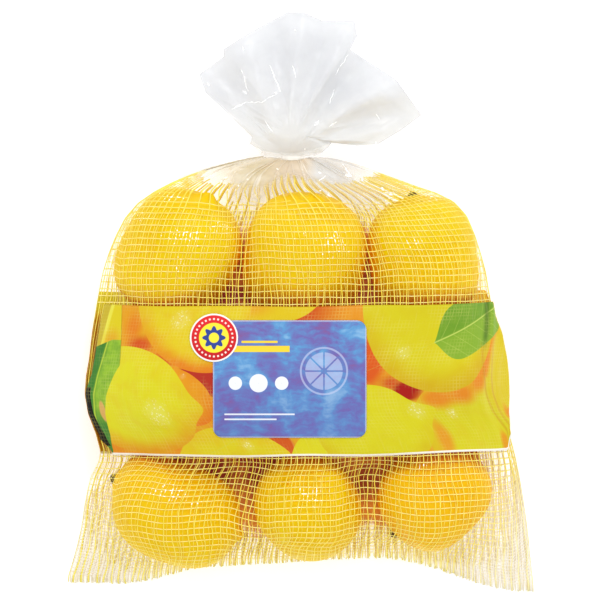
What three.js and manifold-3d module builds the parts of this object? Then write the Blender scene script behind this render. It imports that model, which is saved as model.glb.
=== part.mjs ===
// A net of nine lemons, lying on its back: a knitted net bag that shows the shape of the fruit,
// a printed film band round its middle with a label and a badge, and a clear film top that a tie
// gathers at the neck. Millimetres, +Z up, +Y towards the film top. The origin is on the ground,
// under the middle of the pack's outline.
import * as THREE from 'three';
import { mergeVertices } from 'three/addons/utils/BufferGeometryUtils.js';
import Module from 'manifold-3d';

const wasm = await Module();
wasm.setup();

// Driving dimensions
const packWidth = 234.4; // from one bottom corner to the other
const packLength = 289; // from the right corner to the rim of the film top
const halfWidth = packWidth / 2;
const halfLength = packLength / 2;
const netThickness = 0.6; // net and knots, between the lemons and the ground
const pressDepth = 1.6; // how far the net flattens under a lemon
const sinkDepth = 1.5; // how far the free net sinks below its neighbours between the lemons
const sinkHeights = [14, 40]; // heights between which the sinking sets in
const sinkEnd = 10; // station near the neck where the gathered net no longer sinks
const cornerThickness = 1.6; // both layers of the net at an empty corner
const skinGap = 0.35; // clearance between a skin and what it lies on
const bandThickness = 0.5;
const labelThickness = 0.5;

// Lemons: place, length with both tips, girth, heading of the blossom end and its lift in degrees
const lemons = [
  { x: -61.5, y: 26.8, length: 71, girth: 58, heading: 74, lift: 18 },
  { x: 2.3, y: 23.6, length: 70, girth: 59, heading: 78, lift: 28 },
  { x: 61.5, y: 23.8, length: 69, girth: 54.5, heading: -78, lift: 24 },
  { x: -64.3, y: -39.8, length: 66, girth: 57, heading: 80, lift: 10 },
  { x: -0.3, y: -41.3, length: 66, girth: 56, heading: 88, lift: 5 },
  { x: 64.8, y: -39.5, length: 66, girth: 56, heading: 20, lift: 5 },
  { x: -60.3, y: -105, length: 72, girth: 52, heading: -20, lift: 4 },
  { x: 3.8, y: -103.8, length: 62, girth: 52, heading: 130, lift: 57 },
  { x: 66.5, y: -96.8, length: 62, girth: 52, heading: 38, lift: 5 },
];

// Both side edges of the bag from the bottom corner to the neck, in matching stations
const leftSide = new THREE.SplineCurve([
  new THREE.Vector2(-halfWidth, -140),
  new THREE.Vector2(-111, -119),
  new THREE.Vector2(-106, -92),
  new THREE.Vector2(-100, -76),
  new THREE.Vector2(-107.6, -50),
  new THREE.Vector2(-105.2, -25),
  new THREE.Vector2(-102, -1.5),
  new THREE.Vector2(-96.6, 22),
  new THREE.Vector2(-84, 46.5),
  new THREE.Vector2(-60, 61.5),
  new THREE.Vector2(-33, 69.6),
  new THREE.Vector2(-18, 71.8),
]);
const rightSide = new THREE.SplineCurve([
  new THREE.Vector2(halfWidth, -halfLength),
  new THREE.Vector2(113.6, -117),
  new THREE.Vector2(108.6, -91),
  new THREE.Vector2(104.2, -74),
  new THREE.Vector2(104.4, -47),
  new THREE.Vector2(101.4, -22),
  new THREE.Vector2(95.2, -0.5),
  new THREE.Vector2(91, 21),
  new THREE.Vector2(79.5, 47.5),
  new THREE.Vector2(54, 59),
  new THREE.Vector2(25, 69),
  new THREE.Vector2(9.6, 71.8),
]);
const bandStart = 3; // stations of the band's edges and of the neck
const bandEnd = 6;
const neckStation = 11;

// Bottom hem: how far it rises above the line from corner to corner, and how high it hangs
const hemRiseLeft = 8.5;
const hemRiseRight = 15.5;
const hemHeight = 13;
// Shares of the width where the rise or height of the hem starts, is full, starts to fall and ends
const riseSpan = [0.12, 0.3, 0.68, 0.97];
const hangSpan = [0.08, 0.3, 0.55, 0.85];
const riseChange = [0.25, 0.65]; // shares between which the rise goes from left to right
const bandSagBottom = 1.6; // how far the band's edges sag in the middle
const bandSagTop = 1.7;
const sagFade = 2; // stations above the band over which the sag ends
const sideHeight = 26; // height of the side edges along the lemons
const sideRiseEnd = 3.4; // station from which the side edges have that height
const neckRise = 3; // stations below the neck over which they reach its height
const bandClearance = 1.3; // lifts the net behind the band, so that the band clears the ground

// Neck, film top and tie
const neck = { x: -4.2, z: 20, halfWidth: 13.8, halfThickness: 6.2 };
const filmStart = 72.1;
const tieTop = 78; // the film is straight up to here and fans out above
const filmRim = new THREE.CatmullRomCurve3(
  [
    new THREE.Vector3(-44, 98),
    new THREE.Vector3(-50.3, 112),
    new THREE.Vector3(-40, 123),
    new THREE.Vector3(-25, 133),
    new THREE.Vector3(-9, halfLength - 0.6),
    new THREE.Vector3(1, halfLength - 0.6),
    new THREE.Vector3(11, 140.2),
    new THREE.Vector3(26.5, 139.6),
    new THREE.Vector3(25.8, 125.5),
    new THREE.Vector3(38, 118.5),
    new THREE.Vector3(52, 107),
    new THREE.Vector3(60.2, 94),
    new THREE.Vector3(51, 85),
    new THREE.Vector3(40, 80.2),
  ],
  false,
  'centripetal',
);
const filmThickness = 1.6; // the gathered layers of film, taken as one sheet
const rimHeight = 12; // where the middle of the sheet lies at the rim
const pleats = { count: 5.5, start: 0.6, height: 7.5, unevenness: 0.25, unevenTurns: 9 };
const fanLift = 0.2; // how far a ray of the fan rises before it bends outwards, of its length
const fanBend = 0.28; // where along the ray that is
const rowCrowding = 1.3; // over 1 crowds the rows of the fan at the tie
const bundleEnd = 0.55; // where along the fan the flat bundle has opened into a single sheet
const pleatFull = 0.8; // where the pleats reach their full height
const tie = { y: 75.9, sag: 1.6, height: 3.6, thickness: 1.3, gap: 0.5, sides: 36 };
const tieTails = [
  { angle: 155, reachX: -8, reachY: 3.2 },
  { angle: 50, reachX: 9, reachY: 1.4 },
];
const tailSection = { width: 3, taper: 0.45, thickness: 0.9, rise: 2.6, curl: 2, steps: 4 };

// Label and badge on the band
const label = { left: -43.5, right: 32.8, bottom: -67.8, top: -9.3, cornerRadius: 5 };
const badge = { x: -43, y: -18, radius: 12 };
const cutter = { bottom: 35, height: 60 }; // range of heights that holds the front of the band

// Grid
const columns = 29;
const rowsBelowBand = 11;
const rowsOfBand = 8;
const rowsAboveBand = 14;
const edgeCrowding = 0.35; // 0 spreads the columns evenly, 1 crowds them at the side edges
const filmColumns = 38;
const filmRows = 11;
const relaxSweeps = 300;

const { lerp, inverseLerp, smoothstep, clamp, degToRad } = THREE.MathUtils;

// Closed bodies from rings of points. Neighbouring rings are joined by quads, whose diagonal rises
// to the right on every skin alike, so that parallel skins stay parallel. An open body gets end
// caps that join the front half of its end ring to the back half; a cyclic one has no ends.
function loft(rings, cyclic) {
  const size = rings[0].length;
  const positions = rings.flat().flatMap((p) => [p.x, p.y, p.z]);
  const index = [];
  const spans = cyclic ? rings.length : rings.length - 1;
  for (let j = 0; j < spans; j++) {
    const low = j * size;
    const high = ((j + 1) % rings.length) * size;
    for (let i = 0; i < size; i++) {
      const next = (i + 1) % size;
      if (rings[j][i].y <= rings[(j + 1) % rings.length][i].y) {
        index.push(low + i, low + next, high + next, low + i, high + next, high + i);
      } else {
        index.push(low + i, low + next, high + i, low + next, high + next, high + i);
      }
    }
  }
  if (!cyclic) {
    const last = (rings.length - 1) * size;
    for (let i = 0; i < size / 2 - 1; i++) {
      const across = size - 1 - i;
      index.push(i, across, across - 1, i, across - 1, i + 1);
      index.push(last + i, last + across - 1, last + across, last + i, last + i + 1, last + across - 1);
    }
  }
  const geometry = new THREE.BufferGeometry();
  geometry.setAttribute('position', new THREE.Float32BufferAttribute(positions, 3));
  geometry.setIndex(index);
  return geometry;
}

// Ring that runs along the front from left to right and back along the rear
function ringOf(front, back) {
  return [...front, ...[...back].reverse()];
}

function toSolid(geometry) {
  const bare = geometry.clone();
  bare.deleteAttribute('normal');
  bare.deleteAttribute('uv');
  const merged = mergeVertices(bare, 1e-4);
  return new wasm.Manifold(
    new wasm.Mesh({
      numProp: 3,
      vertProperties: merged.attributes.position.array,
      triVerts: new Uint32Array(merged.index.array),
    }),
  );
}

function toGeometry(solid) {
  const mesh = solid.getMesh();
  const geometry = new THREE.BufferGeometry();
  geometry.setAttribute('position', new THREE.BufferAttribute(mesh.vertProperties, 3));
  geometry.setIndex(new THREE.BufferAttribute(mesh.triVerts, 1));
  return geometry;
}

// Net bag

// Lowest and highest point of a lemon over a place on the ground, or null beside it
function lemonSpan(lemon, x, y) {
  const heading = degToRad(lemon.heading);
  const lift = degToRad(lemon.lift);
  const longHalf = lemon.length / 2;
  const roundHalf = lemon.girth / 2;
  const riseZ = Math.sin(lift);
  const round = 1 / roundHalf ** 2;
  const stretch = 1 / longHalf ** 2 - round;
  const dx = x - lemon.x;
  const dy = y - lemon.y;
  const along = (dx * Math.cos(heading) + dy * Math.sin(heading)) * Math.cos(lift);
  const a = round + stretch * riseZ ** 2;
  const b = 2 * stretch * along * riseZ;
  const c = round * (dx ** 2 + dy ** 2) + stretch * along ** 2 - 1;
  const inside = b ** 2 - 4 * a * c;
  if (inside <= 0) return null;
  const halfHeight = Math.hypot(longHalf * riseZ, roundHalf * Math.cos(lift));
  const centre = netThickness + halfHeight - b / (2 * a);
  const reach = Math.sqrt(inside) / (2 * a);
  return { low: centre - reach, high: centre + reach };
}

// 1 inside a span, falling off to 0 at its ends
function inSpan(s, [start, full, fall, end]) {
  return smoothstep(s, start, full) * (1 - smoothstep(s, fall, end));
}

function hemRise(s) {
  const across = clamp(inverseLerp(...riseChange, s), 0, 1);
  return inSpan(s, riseSpan) * lerp(hemRiseLeft, hemRiseRight, across);
}

function rowSag(station) {
  if (station < bandStart) return bandSagBottom * (station / bandStart);
  if (station < bandEnd) {
    return lerp(bandSagBottom, bandSagTop, (station - bandStart) / (bandEnd - bandStart));
  }
  return bandSagTop * (1 - smoothstep(station, bandEnd, bandEnd + sagFade));
}

// Place on the bag's outline at a station along its length and a share s of its width
function bagPlace(station, s) {
  const from = leftSide.getPoint(station / neckStation);
  const to = rightSide.getPoint(station / neckStation);
  const place = from.lerp(to, s);
  place.y += hemRise(s) * Math.max(0, 1 - station / bandStart) ** 1.5;
  place.y -= rowSag(station) * 4 * s * (1 - s);
  return place;
}

// Height of the side edges: down at the corners, up along the lemons, level with the neck above
function edgeHeight(station) {
  const low = lerp(cornerThickness, sideHeight, smoothstep(station, 0, sideRiseEnd));
  return lerp(low, neck.z, smoothstep(station, neckStation - neckRise, neckStation));
}

function hemLevel(s) {
  return cornerThickness + hemHeight * inSpan(s, hangSpan);
}

function columnShare(i) {
  const even = i / columns;
  return lerp(even, (1 - Math.cos(Math.PI * even)) / 2, edgeCrowding);
}

function stationOf(row) {
  if (row <= rowsBelowBand) return (bandStart * row) / rowsBelowBand;
  const inBand = row - rowsBelowBand;
  if (inBand <= rowsOfBand) return bandStart + ((bandEnd - bandStart) * inBand) / rowsOfBand;
  return bandEnd + ((neckStation - bandEnd) * (inBand - rowsOfBand)) / rowsAboveBand;
}

// Mean heights of the sheets at some neighbours, the nearer ones counting for more
function meanHeights(node, neighbours) {
  let weight = 0;
  let front = 0;
  let back = 0;
  for (const other of neighbours) {
    const pull = 1 / node.place.distanceTo(other.place);
    weight += pull;
    front += pull * other.front;
    back += pull * other.back;
  }
  return { front: front / weight, back: back / weight };
}

// How far the slack net of the front hangs into the hollows at a height and a station
function sinkAt(height, station) {
  const fade = 1 - smoothstep(station, sinkEnd - 1, sinkEnd);
  return sinkDepth * smoothstep(height, ...sinkHeights) * fade;
}

// The front and back sheets of the bag. Each sheet is a stretched skin: it takes the mean height
// of its neighbours unless a lemon pushes it out. Outside the band the front also sinks between
// the lemons. The band is also taut from side to side.
function relaxedBag() {
  const lastRow = rowsBelowBand + rowsOfBand + rowsAboveBand;
  const nodes = [];
  for (let j = 0; j <= lastRow; j++) {
    const station = stationOf(j);
    const row = [];
    for (let i = 0; i <= columns; i++) {
      const s = columnShare(i);
      const place = bagPlace(station, s);
      const spans = lemons.map((lemon) => lemonSpan(lemon, place.x, place.y)).filter(Boolean);
      const top = Math.max(...spans.map((span) => span.high + netThickness));
      const bottom = Math.min(...spans.map((span) => span.low - netThickness));
      const rim = j === 0 ? hemLevel(s) : edgeHeight(station);
      const half = j === lastRow ? bundleHalf(s) : 0;
      const front = rim + Math.max(half, cornerThickness / 2);
      const back = rim - Math.max(half, cornerThickness / 2);
      row.push({ place, top, bottom, front, back });
    }
    nodes.push(row);
  }
  for (let sweep = 0; sweep < relaxSweeps; sweep++) {
    for (let j = 1; j < lastRow; j++) {
      const inBand = j >= rowsBelowBand && j <= rowsBelowBand + rowsOfBand;
      for (let i = 1; i < columns; i++) {
        const node = nodes[j][i];
        const across = [nodes[j][i - 1], nodes[j][i + 1]];
        const around = meanHeights(node, [...across, nodes[j - 1][i], nodes[j + 1][i]]);
        const taut = inBand ? meanHeights(node, across) : around;
        const sink = inBand ? 0 : sinkAt(around.front, stationOf(j));
        node.front = Math.max(node.top, around.front - sink, inBand ? taut.front : 0);
        node.back = Math.min(node.bottom, around.back, taut.back);
      }
    }
  }
  return nodes.map((row, j) => {
    const inBand = j >= rowsBelowBand && j <= rowsBelowBand + rowsOfBand;
    const floor = inBand ? bandClearance : 0;
    return ringOf(
      row.map((node) => new THREE.Vector3(node.place.x, node.place.y, node.front)),
      row.map((node) => new THREE.Vector3(node.place.x, node.place.y, settledHeight(node, floor))),
    );
  });
}

// The back sheet flattens on the ground where a lemon rests on it
function settledHeight(node, floor) {
  const thinnest = node.front - cornerThickness;
  return Math.min(Math.max(node.back - pressDepth, floor), thinnest);
}

const bagRings = relaxedBag();

function netBag() {
  return loft(bagRings, false);
}

// Skins on the bag

// Rings of the bag behind the band, moved outwards by a distance
function bandRings(distance) {
  const rings = [];
  for (let j = rowsBelowBand; j <= rowsBelowBand + rowsOfBand; j++) {
    const ring = bagRings[j];
    rings.push(
      ring.map((point, i) => {
        const next = ring[(i + 1) % ring.length];
        const previous = ring[(i + ring.length - 1) % ring.length];
        const around = next.clone().sub(previous);
        const along = bagRings[j + 1][i].clone().sub(bagRings[j - 1][i]);
        const outward = around.cross(along).normalize();
        return point.clone().addScaledVector(outward, distance);
      }),
    );
  }
  return rings;
}

function bandShell(inner, outer) {
  return loft([...bandRings(outer), ...bandRings(inner).reverse()], true);
}

function printBand() {
  return bandShell(skinGap, skinGap + bandThickness);
}

// Upright prism over an outline, which cuts the front of any skin and misses its rear
function prism(shape) {
  const { bottom, height } = cutter;
  const geometry = new THREE.ExtrudeGeometry(shape, { depth: height, bevelEnabled: false, curveSegments: 6 });
  geometry.translate(0, 0, bottom);
  return toSolid(geometry);
}

function circleShape(radius) {
  const shape = new THREE.Shape();
  shape.absarc(badge.x, badge.y, radius, 0, 2 * Math.PI, false);
  return shape;
}

function labelShape() {
  const { left, right, bottom, top, cornerRadius: r } = label;
  const shape = new THREE.Shape();
  shape.absarc(right - r, bottom + r, r, -Math.PI / 2, 0, false);
  shape.absarc(right - r, top - r, r, 0, Math.PI / 2, false);
  shape.absarc(left + r, top - r, r, Math.PI / 2, Math.PI, false);
  shape.absarc(left + r, bottom + r, r, Math.PI, 1.5 * Math.PI, false);
  return shape;
}

function stickerShell() {
  const inner = 2 * skinGap + bandThickness;
  return toSolid(bandShell(inner, inner + labelThickness));
}

function blueLabel() {
  const cut = prism(circleShape(badge.radius + skinGap));
  return toGeometry(stickerShell().intersect(prism(labelShape())).subtract(cut));
}

function roundBadge() {
  return toGeometry(stickerShell().intersect(prism(circleShape(badge.radius))));
}

// Film top

// Middle of the gathered film at a share s across and t from the tie to the rim
function filmPlace(s, t) {
  const start = new THREE.Vector2(neck.x + (2 * s - 1) * neck.halfWidth, tieTop);
  const rim = filmRim.getPoint(s);
  const end = new THREE.Vector2(rim.x, rim.y);
  const reach = end.clone().sub(start);
  const bend = start.clone().addScaledVector(reach, fanBend);
  bend.y += fanLift * reach.length() * (1 - Math.abs(2 * s - 1) ** 4);
  return new THREE.QuadraticBezierCurve(start, bend, end).getPoint(t);
}

// Half the thickness of the flat bundle inside the tie
function bundleHalf(s) {
  return neck.halfThickness * Math.sqrt(4 * s * (1 - s));
}

function filmHeight(s, t) {
  const wave = Math.sin(2 * Math.PI * pleats.count * s + pleats.start);
  const share = 1 - pleats.unevenness * (1 - Math.cos(pleats.unevenTurns * s));
  const middle = lerp(neck.z, rimHeight, smoothstep(t, 0, 1));
  return middle + pleats.height * wave * share * smoothstep(t, 0, pleatFull);
}

function filmRing(placeAt, halfAt, heightAt) {
  const front = [];
  const back = [];
  for (let i = 0; i <= filmColumns; i++) {
    const s = i / filmColumns;
    const { x, y } = placeAt(s);
    const half = Math.max(halfAt(s), filmThickness / 2);
    front.push(new THREE.Vector3(x, y, heightAt(s) + half));
    back.push(new THREE.Vector3(x, y, heightAt(s) - half));
  }
  return ringOf(front, back);
}

// The film is a flat bundle inside the tie. Above it the pleats open and the sheet gets thin.
function filmTop() {
  const rings = [filmStart, tie.y, tieTop].map((y) =>
    filmRing(
      (s) => ({ x: neck.x + (2 * s - 1) * neck.halfWidth, y }),
      bundleHalf,
      () => neck.z,
    ),
  );
  for (let j = 1; j <= filmRows; j++) {
    const t = (j / filmRows) ** rowCrowding;
    const closed = 1 - smoothstep(t, 0, bundleEnd);
    rings.push(
      filmRing(
        (s) => filmPlace(s, t),
        (s) => bundleHalf(s) * closed,
        (s) => filmHeight(s, t),
      ),
    );
  }
  return loft(rings, false);
}

// Tie

// Point round the neck, with the front of the tie sagging a little
function tiePoint(angle, grow, offset) {
  return new THREE.Vector3(
    neck.x + (neck.halfWidth + grow) * Math.cos(angle),
    tie.y + offset - (tie.sag * (1 + Math.sin(angle))) / 2,
    neck.z + (neck.halfThickness + grow) * Math.sin(angle),
  );
}

function tieRing(grow, offset) {
  const turn = (2 * Math.PI) / tie.sides;
  return Array.from({ length: tie.sides }, (_, i) => tiePoint(turn * i, grow, offset));
}

function tieBand() {
  const half = tie.height / 2;
  const outer = tie.gap + tie.thickness;
  const rings = [
    tieRing(tie.gap, half),
    tieRing(outer, half),
    tieRing(outer, -half),
    tieRing(tie.gap, -half),
  ];
  return toSolid(loft(rings, true));
}

// Short end of the tie that stands off the bundle
function tieTail(tail) {
  const rings = [];
  const root = tiePoint(degToRad(tail.angle), tie.gap + tie.thickness / 2, 0);
  for (let j = 0; j <= tailSection.steps; j++) {
    const t = j / tailSection.steps;
    const width = tailSection.width * (1 - tailSection.taper * t);
    const centre = new THREE.Vector3(
      root.x + tail.reachX * t,
      root.y + tail.reachY * t,
      root.z + tailSection.rise * Math.sin(t * tailSection.curl),
    );
    const side = new THREE.Vector3(-tail.reachY, tail.reachX, 0).normalize();
    const point = (across, up) =>
      centre
        .clone()
        .addScaledVector(side, -across * width)
        .add(new THREE.Vector3(0, 0, up * tailSection.thickness));
    rings.push(ringOf([point(-0.5, 0.5), point(0.5, 0.5)], [point(-0.5, -0.5), point(0.5, -0.5)]));
  }
  return toSolid(loft(rings, false));
}

function neckTie() {
  return toGeometry(tieTails.reduce((solid, tail) => solid.add(tieTail(tail)), tieBand()));
}

function piece(name, geometry, color, roughness, metalness = 0) {
  const material = new THREE.MeshStandardMaterial({ color, roughness, metalness });
  const mesh = new THREE.Mesh(geometry, material);
  mesh.name = name;
  return mesh;
}

const pack = new THREE.Group();
pack.add(
  piece('net_bag', netBag(), 0xf3cf35, 0.5),
  piece('print_band', printBand(), 0xf2a922, 0.3),
  piece('blue_label', blueLabel(), 0x5f7fc4, 0.3),
  piece('round_badge', roundBadge(), 0xd9252b, 0.3),
  piece('film_top', filmTop(), 0xeef1f2, 0.15),
  piece('neck_tie', neckTie(), 0xf6f6f2, 0.35),
);

export default pack;
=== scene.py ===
import math

import bmesh
import bpy
import numpy as np
from mathutils import Matrix, Vector, noise
from mathutils.bvhtree import BVHTree


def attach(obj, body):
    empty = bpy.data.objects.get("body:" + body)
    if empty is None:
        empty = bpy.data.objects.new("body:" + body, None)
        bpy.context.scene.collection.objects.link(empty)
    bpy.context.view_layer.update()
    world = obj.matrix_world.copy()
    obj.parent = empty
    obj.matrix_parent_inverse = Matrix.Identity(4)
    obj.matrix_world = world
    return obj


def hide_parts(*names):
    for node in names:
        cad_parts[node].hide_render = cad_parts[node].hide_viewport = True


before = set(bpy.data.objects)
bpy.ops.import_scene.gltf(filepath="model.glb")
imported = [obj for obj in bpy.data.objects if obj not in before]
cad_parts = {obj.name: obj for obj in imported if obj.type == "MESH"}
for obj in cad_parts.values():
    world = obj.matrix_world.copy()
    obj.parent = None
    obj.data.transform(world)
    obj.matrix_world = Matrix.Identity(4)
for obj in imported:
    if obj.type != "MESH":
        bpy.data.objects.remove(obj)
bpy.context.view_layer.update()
mm = 0.001
bandMiddle = 38.8 * mm  # how far below the origin the band's middle lies


def mergedNode(nodeName):
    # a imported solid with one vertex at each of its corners
    bm = bmesh.new()
    bm.from_mesh(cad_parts[nodeName].data)
    bmesh.ops.remove_doubles(bm, verts=bm.verts, dist=1e-6)
    return bm


def mergedSkin(nodeName):
    # the same for measuring
    bm = mergedNode(nodeName)
    bm.verts.index_update()
    points = np.array([v.co for v in bm.verts])
    edges = np.array([[v.index for v in e.verts] for e in bm.edges])
    tree = BVHTree.FromBMesh(bm)
    bm.free()
    return {"points": points, "edges": edges, "tree": tree}


def crossings(skin, axis, value):
    # where the edges of a solid cross a plane
    start = skin["points"][skin["edges"][:, 0]]
    end = skin["points"][skin["edges"][:, 1]]
    reach = end[:, axis] - start[:, axis]
    sloped = np.abs(reach) > 1e-9
    start, end, reach = start[sloped], end[sloped], reach[sloped]
    share = (value - start[:, axis]) / reach
    hit = (share >= 0) & (share <= 1)
    return start[hit] + share[hit, None] * (end[hit] - start[hit])


def outline(skin, axis, count=260):
    # lowest and highest place along the other ground axis, at even steps along this one
    low, high = skin["points"][:, axis].min(), skin["points"][:, axis].max()
    at = np.linspace(low + 1e-6, high - 1e-6, count)
    across = [crossings(skin, axis, value)[:, 1 - axis] for value in at]
    return at, np.array([places.min() for places in across]), np.array([places.max() for places in across])


def heights(tree, x, y, side, missing):
    # height of the top skin (side 1) or the bottom skin (side -1) over places on the ground
    found = np.full(x.shape, missing)
    for index in np.ndindex(x.shape):
        hit = tree.ray_cast(Vector((x[index], y[index], side * 0.3)), Vector((0, 0, -side)))[0]
        if hit is not None:
            found[index] = hit.z
    return found


def smoothstep(value, start, end):
    t = np.clip((value - start) / (end - start), 0, 1)
    return t * t * (3 - 2 * t)


def plateau(value, start, full, leave, end):
    # from 0 up to 1, and down to 0 again
    return smoothstep(value, start, full) * (1 - smoothstep(value, leave, end))


def deselectAll():
    if bpy.context.object and bpy.context.object.mode != "OBJECT":
        bpy.ops.object.mode_set(mode="OBJECT")
    bpy.ops.object.select_all(action="DESELECT")


def makeActive(piece):
    deselectAll()
    piece.select_set(True)
    bpy.context.view_layer.objects.active = piece


def applyModifiers(piece):
    makeActive(piece)
    for modifier in list(piece.modifiers):
        bpy.ops.object.modifier_apply(modifier=modifier.name)


def settle(piece):
    # the object goes to the origin and its place into its mesh
    makeActive(piece)
    bpy.ops.object.transform_apply(location=True, rotation=True, scale=True)


def dress(piece, materials, slot, *nodes):
    for material in materials:
        piece.data.materials.append(material)
    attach(piece, "root")
    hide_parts(*nodes)
    return piece


def linked(name, data):
    made = bpy.data.objects.new(name, data)
    bpy.context.scene.collection.objects.link(made)
    return made


def smoothAll(piece):
    piece.data.polygons.foreach_set("use_smooth", [True] * len(piece.data.polygons))
    return piece


def thicken(piece, thickness):
    # inwards from its surface
    solid = piece.modifiers.new("thickness", "SOLIDIFY")
    solid.thickness, solid.offset = thickness, -1
    applyModifiers(piece)


def meshPiece(name, points, faces):
    mesh = bpy.data.meshes.new(name)
    mesh.from_pydata([tuple(p) for p in points], [], [tuple(f) for f in faces])
    mesh.validate()
    return smoothAll(linked(name, mesh))


def gridFaces(rows, columns, cyclic=False):
    j, i = np.meshgrid(np.arange(rows - 1), np.arange(columns if cyclic else columns - 1), indexing="ij")
    j, i = j.ravel(), i.ravel()
    after = (i + 1) % columns
    low, high = j * columns, (j + 1) * columns
    return np.stack([low + i, low + after, high + after, high + i], 1)


def sheetPiece(name, grid, uv=None):
    # a sheet from a grid of places, rows first, with its own map
    rows, columns = grid.shape[:2]
    faces = gridFaces(rows, columns)
    piece = meshPiece(name, grid.reshape(-1, 3), faces)
    if uv is not None:
        layer = piece.data.uv_layers.new(name="print")
        layer.data.foreach_set("uv", uv.reshape(-1, 2)[faces.ravel()].ravel())
    return piece


def pointValues(piece, name, values):
    layer = piece.data.attributes.new(name, "FLOAT", "POINT")
    layer.data.foreach_set("value", np.clip(values, 0, 1).ravel())


def linear(red, green, blue):
    # screen colour from 0 to 255 as scene colour
    shares = (value / 255 for value in (red, green, blue))
    return (*(((c + 0.055) / 1.055) ** 2.4 if c > 0.04 else c / 12.92 for c in shares), 1)


class Signal:
    # what a node puts out; sums and products of it become Math nodes
    def __init__(self, socket):
        self.socket, self.tree = socket, socket.id_data

    def __add__(self, other):
        return calc("ADD", self, other)

    def __sub__(self, other):
        return calc("SUBTRACT", self, other)

    def __rsub__(self, other):
        return calc("SUBTRACT", other, self)

    def __mul__(self, other):
        return calc("MULTIPLY", self, other)

    def __truediv__(self, other):
        return calc("DIVIDE", self, other)

    def __pow__(self, other):
        return calc("POWER", self, other)

    def __abs__(self):
        return calc("ABSOLUTE", self)


def fill(made, values):
    # links signals to a node's inputs and sets the others
    for key, value in values.items():
        if isinstance(value, Signal):
            value.tree.links.new(value.socket, made.inputs[key])
        else:
            made.inputs[key].default_value = value


def node(kind, inputs=None, output=0, tree=None, **settings):
    inputs = inputs or {}
    tree = tree or next(value.tree for value in inputs.values() if isinstance(value, Signal))
    made = tree.nodes.new("ShaderNode" + kind)
    for key, value in settings.items():
        setattr(made, key, value)
    fill(made, inputs)
    return Signal(made.outputs[output])


def calc(operation, a, b=0.0, clamp=False):
    return node("Math", {0: a, 1: b}, operation=operation, use_clamp=clamp)


def vector(operation, a, b=(0, 0, 0)):
    inputs = {0: a, **b} if isinstance(b, dict) else {0: a, 1: b}
    single = operation in ("LENGTH", "DISTANCE", "DOT_PRODUCT")
    return node("VectorMath", inputs, "Value" if single else 0, operation=operation)


def split(place):
    return [Signal(output) for output in node("SeparateXYZ", {0: place}).socket.node.outputs]


def attribute(place, name):
    # a value stored with the points of the mesh, for the material of that place
    return node("Attribute", output="Fac", tree=place.tree, attribute_name=name)


def mixed(factor, a, b, blend="MIX"):
    # three numbers are a screen colour from 0 to 255
    a, b = (linear(*tint) if isinstance(tint, tuple) and len(tint) == 3 else tint for tint in (a, b))
    return node("Mix", {0: factor, 6: a, 7: b}, 2, data_type="RGBA", blend_type=blend)


def remap(value, fromLow, fromHigh, toLow=0.0, toHigh=1.0, smooth=False):
    inputs = {0: value, 1: fromLow, 2: fromHigh, 3: toLow, 4: toHigh}
    return node("MapRange", inputs, interpolation_type="SMOOTHSTEP" if smooth else "LINEAR")


def grain(place, scale, detail):
    return node("TexNoise", {"Vector": place, "Scale": scale, "Detail": detail})


def cells(place, scale):
    return node("TexVoronoi", {"Vector": place, "Scale": scale})


def bumped(height, strength, distance):
    return node("Bump", {"Height": height, "Strength": strength, "Distance": distance})


def newMaterial(name, source="Object"):
    # with the places that its patterns read: those in the object, or on its printed map
    material = bpy.data.materials.new(name)
    material.use_nodes = True
    tree = material.node_tree
    if source == "print":
        place = node("UVMap", tree=tree, uv_map=source)
    else:
        place = node("TexCoord", output=source, tree=tree)
    return material, tree.nodes["Principled BSDF"], place


def newGroup(name, inputs, output, outputKind):
    # each input is a vector, a number or a colour by the letter given with it
    kinds = {"v": "NodeSocketVector", "n": "NodeSocketFloat", "c": "NodeSocketColor"}
    tree = bpy.data.node_groups.new(name, "ShaderNodeTree")
    for label, kind in inputs.items():
        tree.interface.new_socket(label, in_out="INPUT", socket_type=kinds[kind])
    tree.interface.new_socket(output, in_out="OUTPUT", socket_type=kinds[outputKind])
    given = tree.nodes.new("NodeGroupInput").outputs[:len(inputs)]
    return tree, tree.nodes.new("NodeGroupOutput"), *map(Signal, given)


def useGroup(group, *values):
    tree = next(value.tree for value in values if isinstance(value, Signal))
    made = tree.nodes.new("ShaderNodeGroup")
    made.node_tree = group
    fill(made, dict(enumerate(values)))
    return Signal(made.outputs[0])


studio = {
    "cameraHeight": 4.0,
    "frameWidth": 0.3,      # width of the view at the middle of the pack's height
    "middle": (-0.00025, 0.00075, 0.03),
    "keyPlace": (0.25, 1.05, 1.35),
    "keySize": 0.7,
    "keyPower": 7,
    "sky": 0.98,
    "floorGlow": 0.35,      # light table under the pack, so that it throws hardly a shadow
}


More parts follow.
